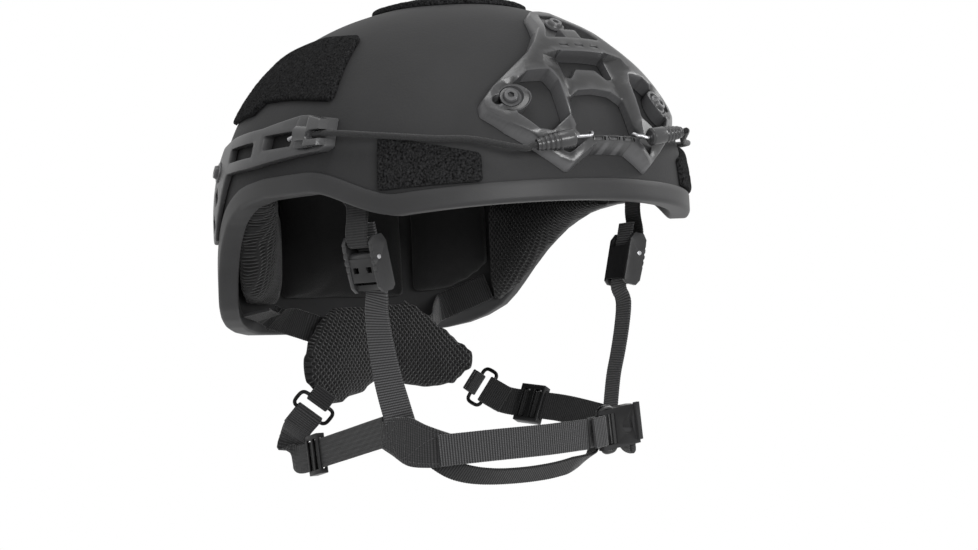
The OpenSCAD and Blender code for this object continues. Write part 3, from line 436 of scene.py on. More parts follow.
def new_material(name):
    mat = bpy.data.materials.new(name)
    mat.use_nodes = True
    return mat, mat.node_tree, mat.node_tree.nodes["Principled BSDF"]


def feed(tree, node, inputs):
    """Sets inputs of a node: another node's socket is linked, a plain value is written in."""
    for key, value in inputs.items():
        if isinstance(value, bpy.types.NodeSocket):
            tree.links.new(value, node.inputs[key])
        else:
            node.inputs[key].default_value = value


def add(tree, kind, inputs, **settings):
    node = tree.nodes.new("ShaderNode" + kind)
    for key, value in settings.items():
        setattr(node, key, value)
    feed(tree, node, inputs)
    return node


def maths(tree, operation, *inputs):
    return add(tree, "Math", dict(enumerate(inputs)), operation=operation).outputs[0]


def vectors(tree, operation, *inputs, output="Vector"):
    return add(tree, "VectorMath", dict(enumerate(inputs)), operation=operation).outputs[output]


def object_coords(tree):
    return add(tree, "TexCoord", {}).outputs["Object"]


def uv_coords(tree):
    return add(tree, "UVMap", {}, uv_map="UVMap").outputs["UV"]


def noise(tree, coords, scale, detail, output="Fac"):
    return add(tree, "TexNoise", {"Vector": coords, "Scale": scale, "Detail": detail}).outputs[output]


def wave(tree, source, length):
    """A wave between 0 and 1 along one coordinate."""
    sine = maths(tree, "SINE", maths(tree, "MULTIPLY", source, 2 * math.pi / length))
    return maths(tree, "MULTIPLY_ADD", sine, 0.5, 0.5)


def grey(v):
    """A faintly bluish grey."""
    return (v, v, v * 1.03, 1)


def two_tone(tree, factor, dark, light, low=0.35, high=0.65):
    """From one grey to a lighter one while the factor goes from low to high."""
    ramp = add(tree, "ValToRGB", {"Fac": factor})
    for stop, position, shade_of in zip(ramp.color_ramp.elements, (low, high), (dark, light)):
        stop.position = position
        stop.color = grey(shade_of)
    return ramp.outputs["Color"]


def blended(tree, factor, a, b):
    return add(tree, "Mix", {"Factor": factor, 6: a, 7: b}, data_type="RGBA").outputs[2]


def relief(tree, *layers):
    """Bumps one over another, each with its height, its depth in metres and its strength."""
    under = {}
    for height, depth_of, strength in layers:
        inputs = {"Height": height, "Distance": depth_of, "Strength": strength}
        under = {"Normal": add(tree, "Bump", {**inputs, **under}).outputs["Normal"]}
    return under["Normal"]


def moulded(name, shade_of, rough, grain=900, grain_depth=0.00004, edge_wear_and_highlight=0.3, spec=0.5, blotch=0.12):
    """Moulded or painted surface: fine grain, soft blotches, and lighter edges that are partly wear and partly
    a painted highlight.
    """
    mat, tree, shader = new_material(name)
    coords = object_coords(tree)
    base = two_tone(tree, noise(tree, coords, 35, 3), shade_of * (1 - blotch), shade_of * (1 + blotch))
    edge = add(tree, "NewGeometry", {}).outputs["Pointiness"]
    # Edges lighten with their roundness towards grey(shade_of * 3 + 0.08): partly wear, partly a painted
    # highlight along bevels and ridges.
    worn_and_lit_edge = add(tree, "MapRange", {"Value": edge, "From Min": WORN_AND_LIT_FROM, "From Max": WORN_AND_LIT_TO, "To Max": edge_wear_and_highlight})
    fine = noise(tree, coords, grain, 2)
    feed(tree, shader, {"Base Color": blended(tree, worn_and_lit_edge.outputs["Result"], base, grey(shade_of * 3 + 0.08)),
                        "Roughness": rough, "Specular IOR Level": spec,
                        "Normal": relief(tree, (fine, grain_depth, 1))})
    return mat


def metal(name, shade_of):
    """Plain metal with faint streaks."""
    mat, tree, shader = new_material(name)
    streak = noise(tree, object_coords(tree), 400, 4)
    feed(tree, shader, {"Base Color": two_tone(tree, streak, shade_of * 0.8, shade_of * 1.1), "Metallic": 1,
                        "Roughness": 0.35, "Normal": relief(tree, (streak, 0.00003, 1))})
    return mat


def woven(name, dark, light, ribbed=False):
    """Webbing: bars across its width, fine yarns along it. Its UV is in millimetres, (across, along)."""
    mat, tree, shader = new_material(name)
    place = add(tree, "SeparateXYZ", {"Vector": uv_coords(tree)}).outputs
    bars, yarns = wave(tree, place["Y"], WEAVE), wave(tree, place["X"], YARN)
    fluff = noise(tree, object_coords(tree), 1500, 3)
    base = two_tone(tree, bars, dark, light, 0.15, 0.85)
    layers = [(bars, 0.00025, 0.6), (yarns, 0.00012, 0.6)]
    if ribbed:
        layers.append((wave(tree, place["X"], RIB), 0.0003, 0.8))
    layers.append((fluff, 0.00012, 0.5))
    base = blended(tree, maths(tree, "MULTIPLY", yarns, 0.45), base, grey(dark * 0.6))
    feed(tree, shader, {"Base Color": base, "Roughness": 0.85, "Specular IOR Level": 0.3, "Sheen Weight": 0.25,
                        "Sheen Roughness": 0.4, "Normal": relief(tree, *layers)})
    return mat


def cloth(name, dark, light, scale, depth_of, rough=0.9, sheen=0.4, spec=0.2):
    """Pile, knit or thread: fine two-tone speckle with its own relief."""
    mat, tree, shader = new_material(name)
    coords = object_coords(tree)
    speckle, wide = noise(tree, coords, scale, 3), noise(tree, coords, 60, 2)
    feed(tree, shader, {"Base Color": two_tone(tree, speckle, dark, light, 0.3, 0.75), "Roughness": rough,
                        "Specular IOR Level": spec, "Sheen Weight": sheen, "Sheen Roughness": 0.5,
                        "Normal": relief(tree, (speckle, depth_of, 1), (wide, 0.0012, 0.35))})
    return mat


def netted(name, hole, strand, across, along):
    """Spacer mesh: rows of oval holes between strands. Its UV is in millimetres."""
    mat, tree, shader = new_material(name)
    coords = object_coords(tree)
    wobble = noise(tree, coords, 90, 2, "Color")
    sway = vectors(tree, "MULTIPLY_ADD", wobble, (1.1, 1.1, 0), uv_coords(tree))
    away = []
    for shift in (0.0, 0.5):
        cell = vectors(tree, "MULTIPLY_ADD", sway, (1 / across, 1 / along, 0), (shift, shift, 0))
        inner = vectors(tree, "FRACTION", cell)
        away.append(vectors(tree, "DISTANCE", inner, (0.5, 0.5, 0), output="Value"))
    near = maths(tree, "MINIMUM", *away)
    solid = add(tree, "MapRange", {"Value": near, "From Min": 0.15, "From Max": 0.33},
                interpolation_type="SMOOTHSTEP").outputs["Result"]
    fine = noise(tree, coords, 2400, 3)
    yarn = two_tone(tree, fine, strand, strand * 1.9, 0.35, 0.7)
    feed(tree, shader, {"Base Color": blended(tree, solid, grey(hole), yarn), "Roughness": 0.85,
                        "Specular IOR Level": 0.25, "Sheen Weight": 0.15,
                        "Normal": relief(tree, (solid, 0.0009, 1), (fine, 0.00015, 0.6))})
    return mat


# Each look's edge value sets how far its edges are lightened, partly as wear and partly as a painted highlight.
SHELL_LOOK = moulded("shell_paint", 0.024, 0.7, grain=700, grain_depth=0.00012, edge_wear_and_highlight=0.0, spec=0.24,
                     blotch=0.06)
TRIM_LOOK = moulded("trim_rubber", 0.024, 0.5, grain=1200, grain_depth=0.00005, edge_wear_and_highlight=0.1, spec=0.3)
FRAME_LOOK = moulded("frame_plastic", 0.016, 0.3, grain=1100, grain_depth=0.00005, edge_wear_and_highlight=0.6)
RAIL_LOOK = moulded("rail_plastic", 0.05, 0.42, grain=1000, grain_depth=0.00006, edge_wear_and_highlight=0.4, spec=0.35)
CLIP_LOOK = moulded("clip_plastic", 0.05, 0.25, grain=500, grain_depth=0.0002, edge_wear_and_highlight=0.0)
CAM_LOOK = moulded("cam_plastic", 0.014, 0.3, spec=0.25)
BUCKLE_LOOK = moulded("buckle_plastic", 0.004, 0.3, spec=0.1)
ROD_LOOK = moulded("buckle_rod", 0.006, 0.22, edge_wear_and_highlight=0.1)
BARREL_LOOK = moulded("barrel_plastic", 0.025, 0.25, spec=0.4)
SCREW_LOOK = moulded("screw_coat", 0.04, 0.33, edge_wear_and_highlight=0.7, spec=0.4)
TIP_LOOK = moulded("cord_tip", 0.5, 0.5, edge_wear_and_highlight=0.0)
STEEL_LOOK = metal("plated_steel", 0.5)
WIRE_LOOK = metal("bright_wire", 0.4)
PATCH_LOOK = cloth("loop_pile", 0.001, 0.036, 950, 0.0009, sheen=0.0, spec=0.04)
PAD_LOOK = cloth("knit_cover", 0.006, 0.012, 2600, 0.0002, sheen=0.1)
NET_LOOK = netted("spacer_mesh", 0.0006, 0.008, 2.9, 3.6)
CORD_LOOK = cloth("cord_braid", 0.01, 0.03, 1900, 0.0003, rough=0.55, sheen=0.1)
STITCH_LOOK = cloth("thread", 0.02, 0.06, 3000, 0.0001)
WEB_GREY = woven("webbing_grey", 0.02, 0.105)
# Painted shade: a darker copy of the grey webbing, used on the chin bands and the chin loop.
WEB_GREY_SHADED = woven("webbing_grey_shaded", 0.016, 0.085)
WEB_DARK = woven("webbing_dark", 0.014, 0.05, ribbed=True)
WEB_BLACK = woven("webbing_black", 0.009, 0.03)


# Stage: camera, floor, world and lights, in metres

CAMERA_AT = (-0.6857979, -0.9800436, -0.0800965)
CAMERA_RIGHT, CAMERA_UP = [0.8098, -0.5854, -0.0392], [0.0077, -0.0562, 0.9984]
CAMERA_BACK = [-0.5867, -0.8088, -0.0410]
LENS, SENSOR = 79.9, 36
FLOOR_SIZE, FLOOR_Z = 12, -0.42
WHITE = (1, 1, 1, 1)
LIGHTS = (("key", (-0.3, -1.38, 0.14), (0.75, 0.3), 12),
          ("top", (-0.5, -0.4, 1.6), (0.9, 0.9), 12),
          ("rim", (1.3, -0.5, 0.6), (0.6, 0.6), 6))


def white_to_camera(tree, shader, white, end):
    """Shows plain white to rays from the camera, straight or by way of gloss or glass, else the shader."""
    path = add(tree, "LightPath", {}).outputs
    seen = maths(tree, "MAXIMUM", path["Is Camera Ray"], path["Is Glossy Ray"])
    seen = maths(tree, "MAXIMUM", seen, path["Is Transmission Ray"])
    mixer = add(tree, "MixShader", {"Fac": seen, 1: shader.outputs[0], 2: white.outputs[0]})
    feed(tree, tree.nodes[end], {"Surface": mixer.outputs[0]})


def stand(name, data, spot, right, up, back):
    """Puts a camera or a light in its place, looking along its own -Z."""
    ob = bpy.data.objects.new(name, data)
    ob.matrix_world = Matrix.Translation(spot) @ Matrix(np.column_stack([right, up, back]).tolist()).to_4x4()
    bpy.context.scene.collection.objects.link(ob)
    return ob


def stage():
    scene = bpy.context.scene
    camera = bpy.data.cameras.new("camera")
    camera.lens = LENS
    camera.sensor_width = SENSOR
    scene.camera = stand("camera", camera, CAMERA_AT, CAMERA_RIGHT, CAMERA_UP, CAMERA_BACK)

    bpy.ops.mesh.primitive_plane_add(size=FLOOR_SIZE, location=(0, 0, FLOOR_Z))
    floor = bpy.context.object
    floor.name = "floor"
    mat, tree, shader = new_material("floor_white")
    feed(tree, shader, {"Base Color": (0.85, 0.85, 0.85, 1), "Roughness": 0.9})
    white_to_camera(tree, shader, add(tree, "Emission", {"Color": WHITE}), "Material Output")
    floor.data.materials.append(mat)

    scene.view_settings.view_transform = "Standard"
    world = bpy.data.worlds.new("studio")
    scene.world = world
    world.use_nodes = True
    tree = world.node_tree
    soft = tree.nodes["Background"]
    feed(tree, soft, {"Color": WHITE, "Strength": 0.4})
    white_to_camera(tree, soft, add(tree, "Background", {"Color": WHITE}), "World Output")

    for name, spot, size, power in LIGHTS:
        light = bpy.data.lights.new(name, "AREA")
        light.shape = "RECTANGLE"
        light.size, light.size_y = size
        light.energy = power
        back = unit(spot)
        right = unit(np.cross([0, 0, 1], back))
        stand(name, light, spot, right, np.cross(back, right), back)


stage()


# Shell and trim

def make_shell():
    cols, rows, inner_rows = 288, 72, 40
    t = np.arange(cols) * 360 / cols

    def rings(n, d):
        return [skin(t, mix(rim_z(t), CROWN, math.sin(math.pi / 2 * i / n)), d) for i in range(n)]

    def ring(i, j):
        return i * cols + j % cols

    tips = [[[0, WIDEST_BACK, CROWN]], [[0, WIDEST_BACK, CROWN - WALL]]]
    verts = np.concatenate(rings(rows, 0) + rings(inner_rows, -WALL)[::-1] + tips)
    n = len(verts)
    faces = quads(rows, cols, True)
    faces += [[rows * cols + k for k in f] for f in quads(inner_rows, cols, True)]
    last = rows + inner_rows - 1
    for j in range(cols):
        faces.append([ring(rows - 1, j), ring(rows - 1, j + 1), n - 2])
        faces.append([ring(rows, j + 1), ring(rows, j), n - 1])
        faces.append([ring(last, j), ring(last, j + 1), ring(0, j + 1), ring(0, j)])
    to_object("shell", "form", verts, faces, SHELL_LOOK, "shell", 50)


def make_trim():
    cols = 360
    t = np.arange(cols) * 360 / cols

    def inwards(dist, d):
        rim = rim_z(t)
        along = unit(skin(t + 0.5, rim_z(t + 0.5), 0) - skin(t - 0.5, rim_z(t - 0.5), 0))
        up = np.cross(normal(t, rim), along)
        outwards = np.stack([np.cos(np.radians(t)), np.sin(np.radians(t)), 0 * t], -1)
        return skin(t + np.degrees(dist * (up * outwards).sum(-1) / rho(t, rim)), rim + dist * up[:, 2], d)

    arc = np.radians(np.linspace(0, 90, 6))
    big, small = 2.4, 1.6
    section = [(TRIM_H, 0.3), (TRIM_H, TRIM_T - 0.7), (TRIM_H - 0.2, TRIM_T - 0.2), (TRIM_H - 0.8, TRIM_T)]
    section += [(k, TRIM_T) for k in (6, 4, 2.4)]
    section += [(-TRIM_T + big * (1 - math.sin(a)), TRIM_T - big * (1 - math.cos(a))) for a in arc]
    section += [(-TRIM_T + small * (1 - math.cos(a)), -WALL - TRIM_T + small * (1 - math.sin(a))) for a in arc]
    section += [(TRIM_H * 0.6, -WALL - TRIM_T), (TRIM_H * 0.6, -WALL - 0.3), (-0.3, -WALL - 0.3), (-0.3, 0.3)]
    verts = np.stack([inwards(a, b) for a, b in section], 1).reshape(-1, 3)
    faces = [[k % len(verts) for k in face] for face in quads(cols + 1, len(section), True)]
    to_object("edge_trim", "form", verts, faces, TRIM_LOOK, "trim", 35)


make_shell()
make_trim()


# Round pieces along a route

def tube(node, part, route, d, sides, look, slot, braid=0.0, body="helmet"):
    """A round piece along a route. Returns its object, the points along its middle and its length."""
    run = run_of(route)
    count = max(12, int(run[-1] / 0.7))
    s = np.linspace(0, run[-1], count)
    p = at_run(s, run, route)
    along = unit(np.gradient(p, axis=0))
    side = np.empty_like(along)
    side[0] = unit(np.cross(along[0], [0.1, 0.2, 1]))
    for i in range(1, count):
        side[i] = unit(side[i - 1] - along[i] * (side[i - 1] @ along[i]))
    up = np.cross(side, along)
    verts, uv = [], []
    for k in range(sides):
        a = 2 * math.pi * k / sides
        r = d / 2 * (1 + braid * np.cos(6 * a + s * 2.2) * np.cos(6 * a - s * 2.2))
        verts.append(p + (side * math.cos(a) + up * math.sin(a)) * r[:, None])
        uv.append(np.stack([np.full(count, k * math.pi * d / sides), s], -1))
    verts, uv = np.stack(verts, 1).reshape(-1, 3), np.stack(uv, 1).reshape(-1, 2)
    faces = quads(count, sides, True)
    faces += [list(range(sides))[::-1], [(count - 1) * sides + k for k in range(sides)]]
    return to_object(node, part, verts, faces, look, slot, 70, body, uv), p, run[-1]


# Front mount frame: outlines in its leaning plane

FRAME_HALF = [[0, 34], [-6, 33], [-10, 28], [-16, 12], [-25, 0.5], [-32, -6.5], [-40, -12], [-54.5, -21.5],
              [-60, -26.5], [-60.5, -32], [-51.5, -44], [-43.2, -52.2], [-36, -59], [-24.8, -68.2],
              [-11, -60.8], [0, -60.8]]
ARM_WINDOW = [[-44.5, -22.5], [-37, -18.5], [-25.5, -19.5], [-23, -26], [-23, -46], [-33.5, -52.5],
              [-40, -50.5], [-48, -39.5]]
FOOT_WINDOW = [[-29, -58], [-27.8, -61], [-25.4, -62.8], [-23.4, -62.4], [-16.4, -59], [-20.2, -57.4]]
UPPER_WINDOW = [[-15, -8], [15, -8], [15, -21.5], [11.5, -22.5], [6, -16.5], [-6, -16.5], [-11.5, -22.5],
                [-15, -21.5]]
LOWER_WINDOW = [[0, -29], [10.5, -30], [17, -34], [19.8, -54], [15.5, -57.4], [-15.5, -57.4], [-19.8, -54],
                [-17, -34], [-10.5, -30]]
SCREW_BOSS, BOSS_R, BOSS_T = [-46.5, -30], 8, 6.2
LOW_SCREWS_AT = [(-20.5, 49), (20.5, 49)]
SCREW_SLOT, SCREW_D, HEAD_D = 5, 5, 10.5
TRAY = [[-4, 28], [4, 28], [12, 12], [17, 3], [-17, 3], [-12, 12]]
TRAY_BLOCK = [5, 7]
RIDGE = [[20, -57.2], [22.6, -46], [22.6, -26], [25.2, -19], [28, -16.5], [25, -9.5], [16, -7.8]]
RECESS_EDGE = [[-54, 19.8], [-34, 17], [-21.5, 15], [-8, 15]]
RECESS = 4.6
# The face gets lower between these angles, heights and half widths: the arms, the top and the feet
ARM_END, TOP_END, FOOT_END, FOOT_SIDE = (14, 30), (82, 97), (30, 20), (18, 30)
MARK, MARK_DEEP, MARK_ROWS, MARK_PITCH = [4.5, 1], 0.6, [-3.5, -58.8], 9.5
HIDDEN_EDGE = 0.6


def both_halves(half):
    """A closed outline from its right half, which starts and ends on the middle line."""
    half = np.asarray(half, float)
    return np.concatenate([half, (half * [-1, 1])[::-1][1:-1]])


def around_boss(window):
    """The arm window with the screw boss standing into it."""
    fine = filled_in(rounded(window, 2), 0.6)
    away = fine - SCREW_BOSS
    near = np.linalg.norm(away, axis=1) < BOSS_R
    first = int(np.flatnonzero(~near & np.roll(near, 1))[0])
    order = [i for i in np.roll(np.arange(len(fine)), -first) if not near[i]]
    angle = np.arctan2(away[:, 1], away[:, 0])
    bulge = SCREW_BOSS + polar(BOSS_R, np.linspace(angle[order[-1]], angle[order[0]], 14))
    return np.concatenate([fine[order], bulge[1:-1]])


def screw_pocket():
    """Round a screw's head, with a slot that ends in a half circle."""
    half, far, r = SCREW_D / 2, HEAD_D / 2 + SCREW_SLOT - 1, HEAD_D / 2 + 0.5
    a = math.asin(half / r)
    end = [far - half, 0] + polar(half, np.linspace(-np.pi / 2, np.pi / 2, 9))
    slot = rounded(box(0, far, -half, half), 1)
    return np.concatenate([polar(r, np.linspace(a, 2 * np.pi - a, 24)), end]), slot


def bed_of(opening):
    """The outline of a floor that reaches a little under the edge of its opening."""
    return moved_in(turned(opening, True), -HIDDEN_EDGE)


def frame_uv(p):
    """A point in the frame's leaning plane."""
    return np.array([p[0], p[1] * math.cos(FRAME_RISE) + p[2] * math.sin(FRAME_RISE)])


def make_frame():
    arm = around_boss(ARM_WINDOW)
    windows = [arm, arm * [-1, 1]] + [rounded(np.asarray(FOOT_WINDOW) * [k, 1], 1) for k in (1, -1)]
    windows += [rounded(UPPER_WINDOW, 1.2), rounded(LOWER_WINDOW, 2)]
    ridge_line = np.array(RIDGE, float)
    centres = [frame_uv(skin(t, z, SCREW_SEAT_T)) for t, z in LOW_SCREWS_AT]

    def high(uv):
        p = on_front(uv, np.zeros(len(uv)))
        z = p[:, 2]
        lower = np.maximum(ease(off_front(angle_of(p)), *ARM_END), ease(z, *TOP_END))
        foot = ease(z, *FOOT_END) * ease(np.abs(uv[:, 0]), *FOOT_SIDE)
        over = FRAME_T - ARM_THIN * np.maximum(lower, foot)
        ridge = np.interp(uv[:, 1], ridge_line[:, 1], ridge_line[:, 0], 0, 0)
        edge = on_curve(uv[:, 1], RECESS_EDGE)
        sunk = np.clip((ridge - np.abs(uv[:, 0])) / np.maximum(ridge - edge, 1), 0, 1)
        over = over - RECESS * np.where(ridge > 0, sunk, 0)
        near = np.min([np.linalg.norm(uv - c, axis=1) for c in centres], 0)
        return mix(over, np.minimum(over, BOSS_T), 1 - ease(near, BOSS_R - 0.3, BOSS_R + 1.7))

    pocket, shank = screw_pocket()
    flips = [[1 if c[0] > 0 else -1, 1] for c in centres]
    pockets = [c + pocket * flip for c, flip in zip(centres, flips)]
    shanks = [c + shank * flip for c, flip in zip(centres, flips)]
    wide, tall = MARK
    marks = [box(u - wide / 2, u + wide / 2, v - tall / 2, v + tall / 2)
             for v in MARK_ROWS for u in (-MARK_PITCH, 0, MARK_PITCH)]
    tray = rounded(TRAY, 1.2)
    half, deep = TRAY_BLOCK
    block = rounded(box(-half, half, 2, 3 + deep), 0.8)
    outer = rounded(both_halves(FRAME_HALF), 3.5, 5)
    face = plate(outer, windows + pockets + [tray] + marks, on_front, level(PLATE_SEAT), high, 0.8, step=1.2,
                 grid=2.0, creases=[ridge_line, ridge_line * [-1, 1]])
    forms = [("face", face, 24)]
    for k, (opening, holes) in enumerate(((pockets[0], shanks[:1]), (pockets[1], shanks[1:]), (tray, []))):
        floor = plate(bed_of(filled_in(opening, 1.5)), holes, on_front, level(FLOOR_SEAT), level(SCREW_SEAT_T),
                      0.1, grid=2.5)
        forms.append(("floor_%d" % k, floor, 32))
    forms.append(("block", plate(block, [], on_front, level(SCREW_SEAT_T - 1), high, 0.6), 32))
    for k, mark in enumerate(marks):
        bed = plate(bed_of(mark), [], on_front, level(SCREW_SEAT_T), lambda uv: high(uv) - MARK_DEEP, 0.05)
        forms.append(("mark_%d" % k, bed, 32))
    for part, form, angle in forms:
        to_object("mount_frame", part, *form, FRAME_LOOK, "frame", angle)


make_frame()


# Side rails and cord clips

RAIL_OUTLINE = [[-55, 32], [-53, 47], [-32, 50.5], [0, 47], [37, 46.5], [50, 45.5], [62, 44], [70, 34],
                [78, 12], [80, -5], [73, -9], [66, -7], [60, 2], [50, 13], [40, 26.5], [7, 26.5],
                [-38, 29.5], [-51, 30]]
RAIL_SLOTS, RAIL_SLOT_H = [[5, 38, 36.3], [-30, -5, 38.5]], 7.5
RAIL_SEAT, RAIL_END = 2.6, (92, 118)
RAIL_SCREW_AT = [[-67.5, 37.5], [-119.5, 29.5]]
LEG_SLOTS, LEG_SLOT, LEG_TURN = [[62.5, 16.5], [69.5, 2.5]], [7, 7.5], math.radians(-28)
CLIP_BACK = [[-48, 32.5], [-48, 48], [-42, 49.5], [-36, 50], [-34.5, 44], [-36.5, 41], [-36.5, 36], [-36, 32.5]]
CLIP_FRONT = [[-46.5, 32.8], [-46.5, 48.5], [-54.5, 46.2]]
CLIP_END, FORK_END, FORK_HALF = -55.5, -49.5, 2.3
CLIP_BOSS, BOSS_D = [[-46.8, 39.0], [-37, 40.2]], 8.6
CORD_Z = 38.6


def make_rails():
    def high(uv):
        p = on_side(uv, np.zeros(len(uv)))
        return RAIL_T - RAIL_THIN * ease(off_front(angle_of(p)), *RAIL_END)

    half = RAIL_SLOT_H / 2
    slots = [rounded(box(a, b, z - half, z + half), 1.5) for a, b, z in RAIL_SLOTS]
    spin = [[math.cos(LEG_TURN), math.sin(LEG_TURN)], [-math.sin(LEG_TURN), math.cos(LEG_TURN)]]
    long, tall = np.array(LEG_SLOT) / 2
    slots += [rounded(box(-long, long, -tall, tall) @ spin + c, 1.2) for c in LEG_SLOTS]
    centres = [skin(t, z, RAIL_SEAT)[1:] for t, z in RAIL_SCREW_AT]
    pockets = [c + polar(HEAD_D / 2 + 0.4, np.arange(32) * 2 * np.pi / 32) for c in centres]
    shanks = [c + polar(SCREW_D / 2 + 0.2, np.arange(20) * 2 * np.pi / 20) for c in centres]
    rail = plate(rounded(RAIL_OUTLINE, 2), slots + pockets, on_side, level(PLATE_SEAT), high, 0.9)
    seats = [plate(bed_of(pocket), [shank], on_side, level(FLOOR_SEAT), level(RAIL_SEAT - 0.1), 0.05)
             for pocket, shank in zip(pockets, shanks)]
    fork = [FORK_END, CORD_Z] + polar(FORK_HALF, np.linspace(np.pi / 2, -np.pi / 2, 9))
    front = np.concatenate([CLIP_FRONT, [[CLIP_END, CORD_Z + FORK_HALF]], fork,
                            [[CLIP_END, CORD_Z - FORK_HALF], [CLIP_END, CLIP_FRONT[0][1]]]])
    seat = level(RAIL_T + SEAT)
    back = plate(rounded(CLIP_BACK, 1), [], on_side, seat, level(RAIL_T + 2.4), 0.5, grid=1.5)
    front = plate(front, [], on_side, seat, level(RAIL_T + CLIP_T), 0.7, step=1.0, grid=1.2)
    boss = on_side(np.array(CLIP_BOSS), np.full(2, RAIL_T + 1.4))
    forms = (("rail_", "form", rail, RAIL_LOOK), ("rail_", "seat_0", seats[0], RAIL_LOOK),
             ("rail_", "seat_1", seats[1], RAIL_LOOK), ("cord_clip_", "back", back, RAIL_LOOK),
             ("cord_clip_", "front", front, CLIP_LOOK))
    for side, hand in enumerate(SIDES):
        for node, part, form, look in forms:
            to_object(node + hand, part, *handed_form(side, *form), look, "rail", 40)
        tube("cord_clip_" + hand, "boss", handed(side, boss), BOSS_D, 32, CLIP_LOOK, "rail")


make_rails()


# Loop patches

REAR_LOW = [[64, 56], [84, 61], [101, 63], [105, 57.5], [128, 57]]
REAR_HIGH = [[64, 92], [90, 96], [128, 92]]
FRONT_LOW = [[27, 9.3], [50, 7.6]]
FRONT_HIGH = [[27, 23], [50, 35.5]]
MM_PER_DEGREE, PATCH_ROUND = 2.2, 5
CROWN_HALF, CROWN_MIDDLE, CROWN_ROUND = (38, 43), -6, 0.42


def make_patches():
    def strip(start, end, low, high):
        a = np.linspace(start, end, 12)
        lower, upper = np.stack([-a, on_curve(a, low)], -1), np.stack([-a, on_curve(a, high)], -1)
        return rounded(np.concatenate([lower, upper[::-1]]) * [MM_PER_DEGREE, 1], PATCH_ROUND)

    def on_scaled(uv, d):
        return skin(uv[:, 0] / MM_PER_DEGREE, uv[:, 1], d)

    def on_roof(uv, d):
        p = np.stack([uv[:, 0], uv[:, 1], 0 * uv[:, 0] + 60], -1)
        return cast(p, np.array([0.0, 0, 1]), d, 50)

    def pile(outline, place, seed):
        return plate(outline, [], place, level(PATCH_SEAT), level(PATCH_SEAT + PATCH_T), 1.0, step=1.0,
                     grid=1.0, fuzz=0.3, seed=seed)

    for node, outline, seed in (("patch_rear_", strip(65, 128, REAR_LOW, REAR_HIGH), 3),
                                ("patch_front_", strip(27.5, 50, FRONT_LOW, FRONT_HIGH), 5)):
        form = pile(outline, on_scaled, seed)
        for side, hand in enumerate(SIDES):
            to_object(node + hand, "pile", *handed_form(side, *form), PATCH_LOOK, "patch", 80)

    u, v = filled_in(box(-1, 1, -1, 1), 0.2).T
    edge = np.stack([CROWN_HALF[0] * u * np.sqrt(1 - CROWN_ROUND * v * v),
                     CROWN_MIDDLE + CROWN_HALF[1] * v * np.sqrt(1 - CROWN_ROUND * u * u)], -1)
    to_object("patch_crown", "pile", *pile(edge, on_roof, 7), PATCH_LOOK, "patch", 80)


make_patches()


# Webbing

def eased(points, passes):
    """A polyline with its corners cut, its ends kept."""
    p = points
    for _ in range(passes):
        q = np.repeat(p, 2, 0)
        q[1:-1:2] = 0.75 * p[:-1] + 0.25 * p[1:]
        q[2::2] = 0.25 * p[:-1] + 0.75 * p[1:]
        p = q
    return p


def band(node, route, across, look, slot, wide=WEB_W, body="helmet", steps=0, tuck=(0, 0)):
    """A strap along a route, with rounded selvedges and ribs across it.

    across holds the directions of its width, steps smooths the route and tuck lengthens its ends."""
    route, across = np.array(route, float), unit(across)
    route[0] += unit(route[0] - route[1]) * tuck[0]
    route[-1] += unit(route[-1] - route[-2]) * tuck[1]
    if steps:
        between = [mix(a, b, k / steps) for a, b in zip(across[:-1], across[1:]) for k in range(steps)]
        route, across = smooth(route, steps), np.array(between + [across[-1]])
    joined = eased(np.concatenate([route, across], 1), 1 if steps else 2)
    run = run_of(joined[:, :3])
    count = max(8, int(run[-1] / (WEAVE / 4)))
    s = np.linspace(0, run[-1], count)
    p, w = at_run(s, run, joined[:, :3]), at_run(s, run, joined[:, 3:])
    heading = unit(np.gradient(p, axis=0))
    w = unit(w - heading * (w * heading).sum(-1, keepdims=True))
    up = np.cross(heading, w)
    r, half = WEB_T / 2, wide / 2
    face = [(half - 0.25, 0.7 * r), (half - 0.7, 1.04 * r)]
    face += [(x, r) for x in np.linspace(half - 1.2, 1.2 - half, 7)]
    face += [(0.7 - half, 1.04 * r), (0.25 - half, 0.7 * r)]
    section = [(half, 0.0)] + face + [(-half, 0.0)] + [(x, -y) for x, y in face[::-1]]
    ripple = np.cos(2 * np.pi * s / WEAVE)
    swell, edge = 1 + RIB_HEIGHT / WEB_T * ripple, 1 + 0.06 * ripple / half
    verts = np.stack([p + w * (x * edge)[:, None] + up * (y * swell)[:, None] for x, y in section], 1)
    uv = np.stack([np.stack([np.full(count, x), s], -1) for x, y in section], 1)
    n = len(section)
    faces = [f[::-1] for f in quads(count, n, True)]
    faces += [list(range(n)), [(count - 1) * n + k for k in range(n)][::-1]]
    return to_object(node, "web", verts.reshape(-1, 3), faces, look, slot, 70, body, uv.reshape(-1, 2))


STITCH, STITCH_GAP, THREAD = 1.9, 0.9, 0.42


def stitches(node, lines, out):
    """Rows of thread along lines of points, each lying on a face whose outward direction is given."""
    verts, faces = [], []
    around = polar(THREAD / 2, np.radians(range(0, 360, 60)))
    thread = quads(4, 6, True) + [list(range(5, -1, -1)), list(range(18, 24))]
    for line, way in zip(lines, out):
        run, way = run_of(line), unit(way)
        for at in np.arange(0.3, run[-1] - STITCH, STITCH + STITCH_GAP):
            start, end = at_run([at, at + STITCH], run, line)
            n = unit(at_run(at, run, way))
            side = np.cross(n, unit(end - start))
            base = len(verts)
            for f, lift, grow in ((0, -0.1, 0.6), (0.25, 0.12, 1), (0.75, 0.12, 1), (1, -0.1, 0.6)):
                verts += [mix(start, end, f) + n * lift + (side * x + n * y) * grow for x, y in around]
            faces += [[base + k for k in face] for face in thread]
    to_object(node, "stitches", verts, faces, STITCH_LOOK, "web_grey", 60, replaces=False)


# Front straps and the cam buckles that they run through

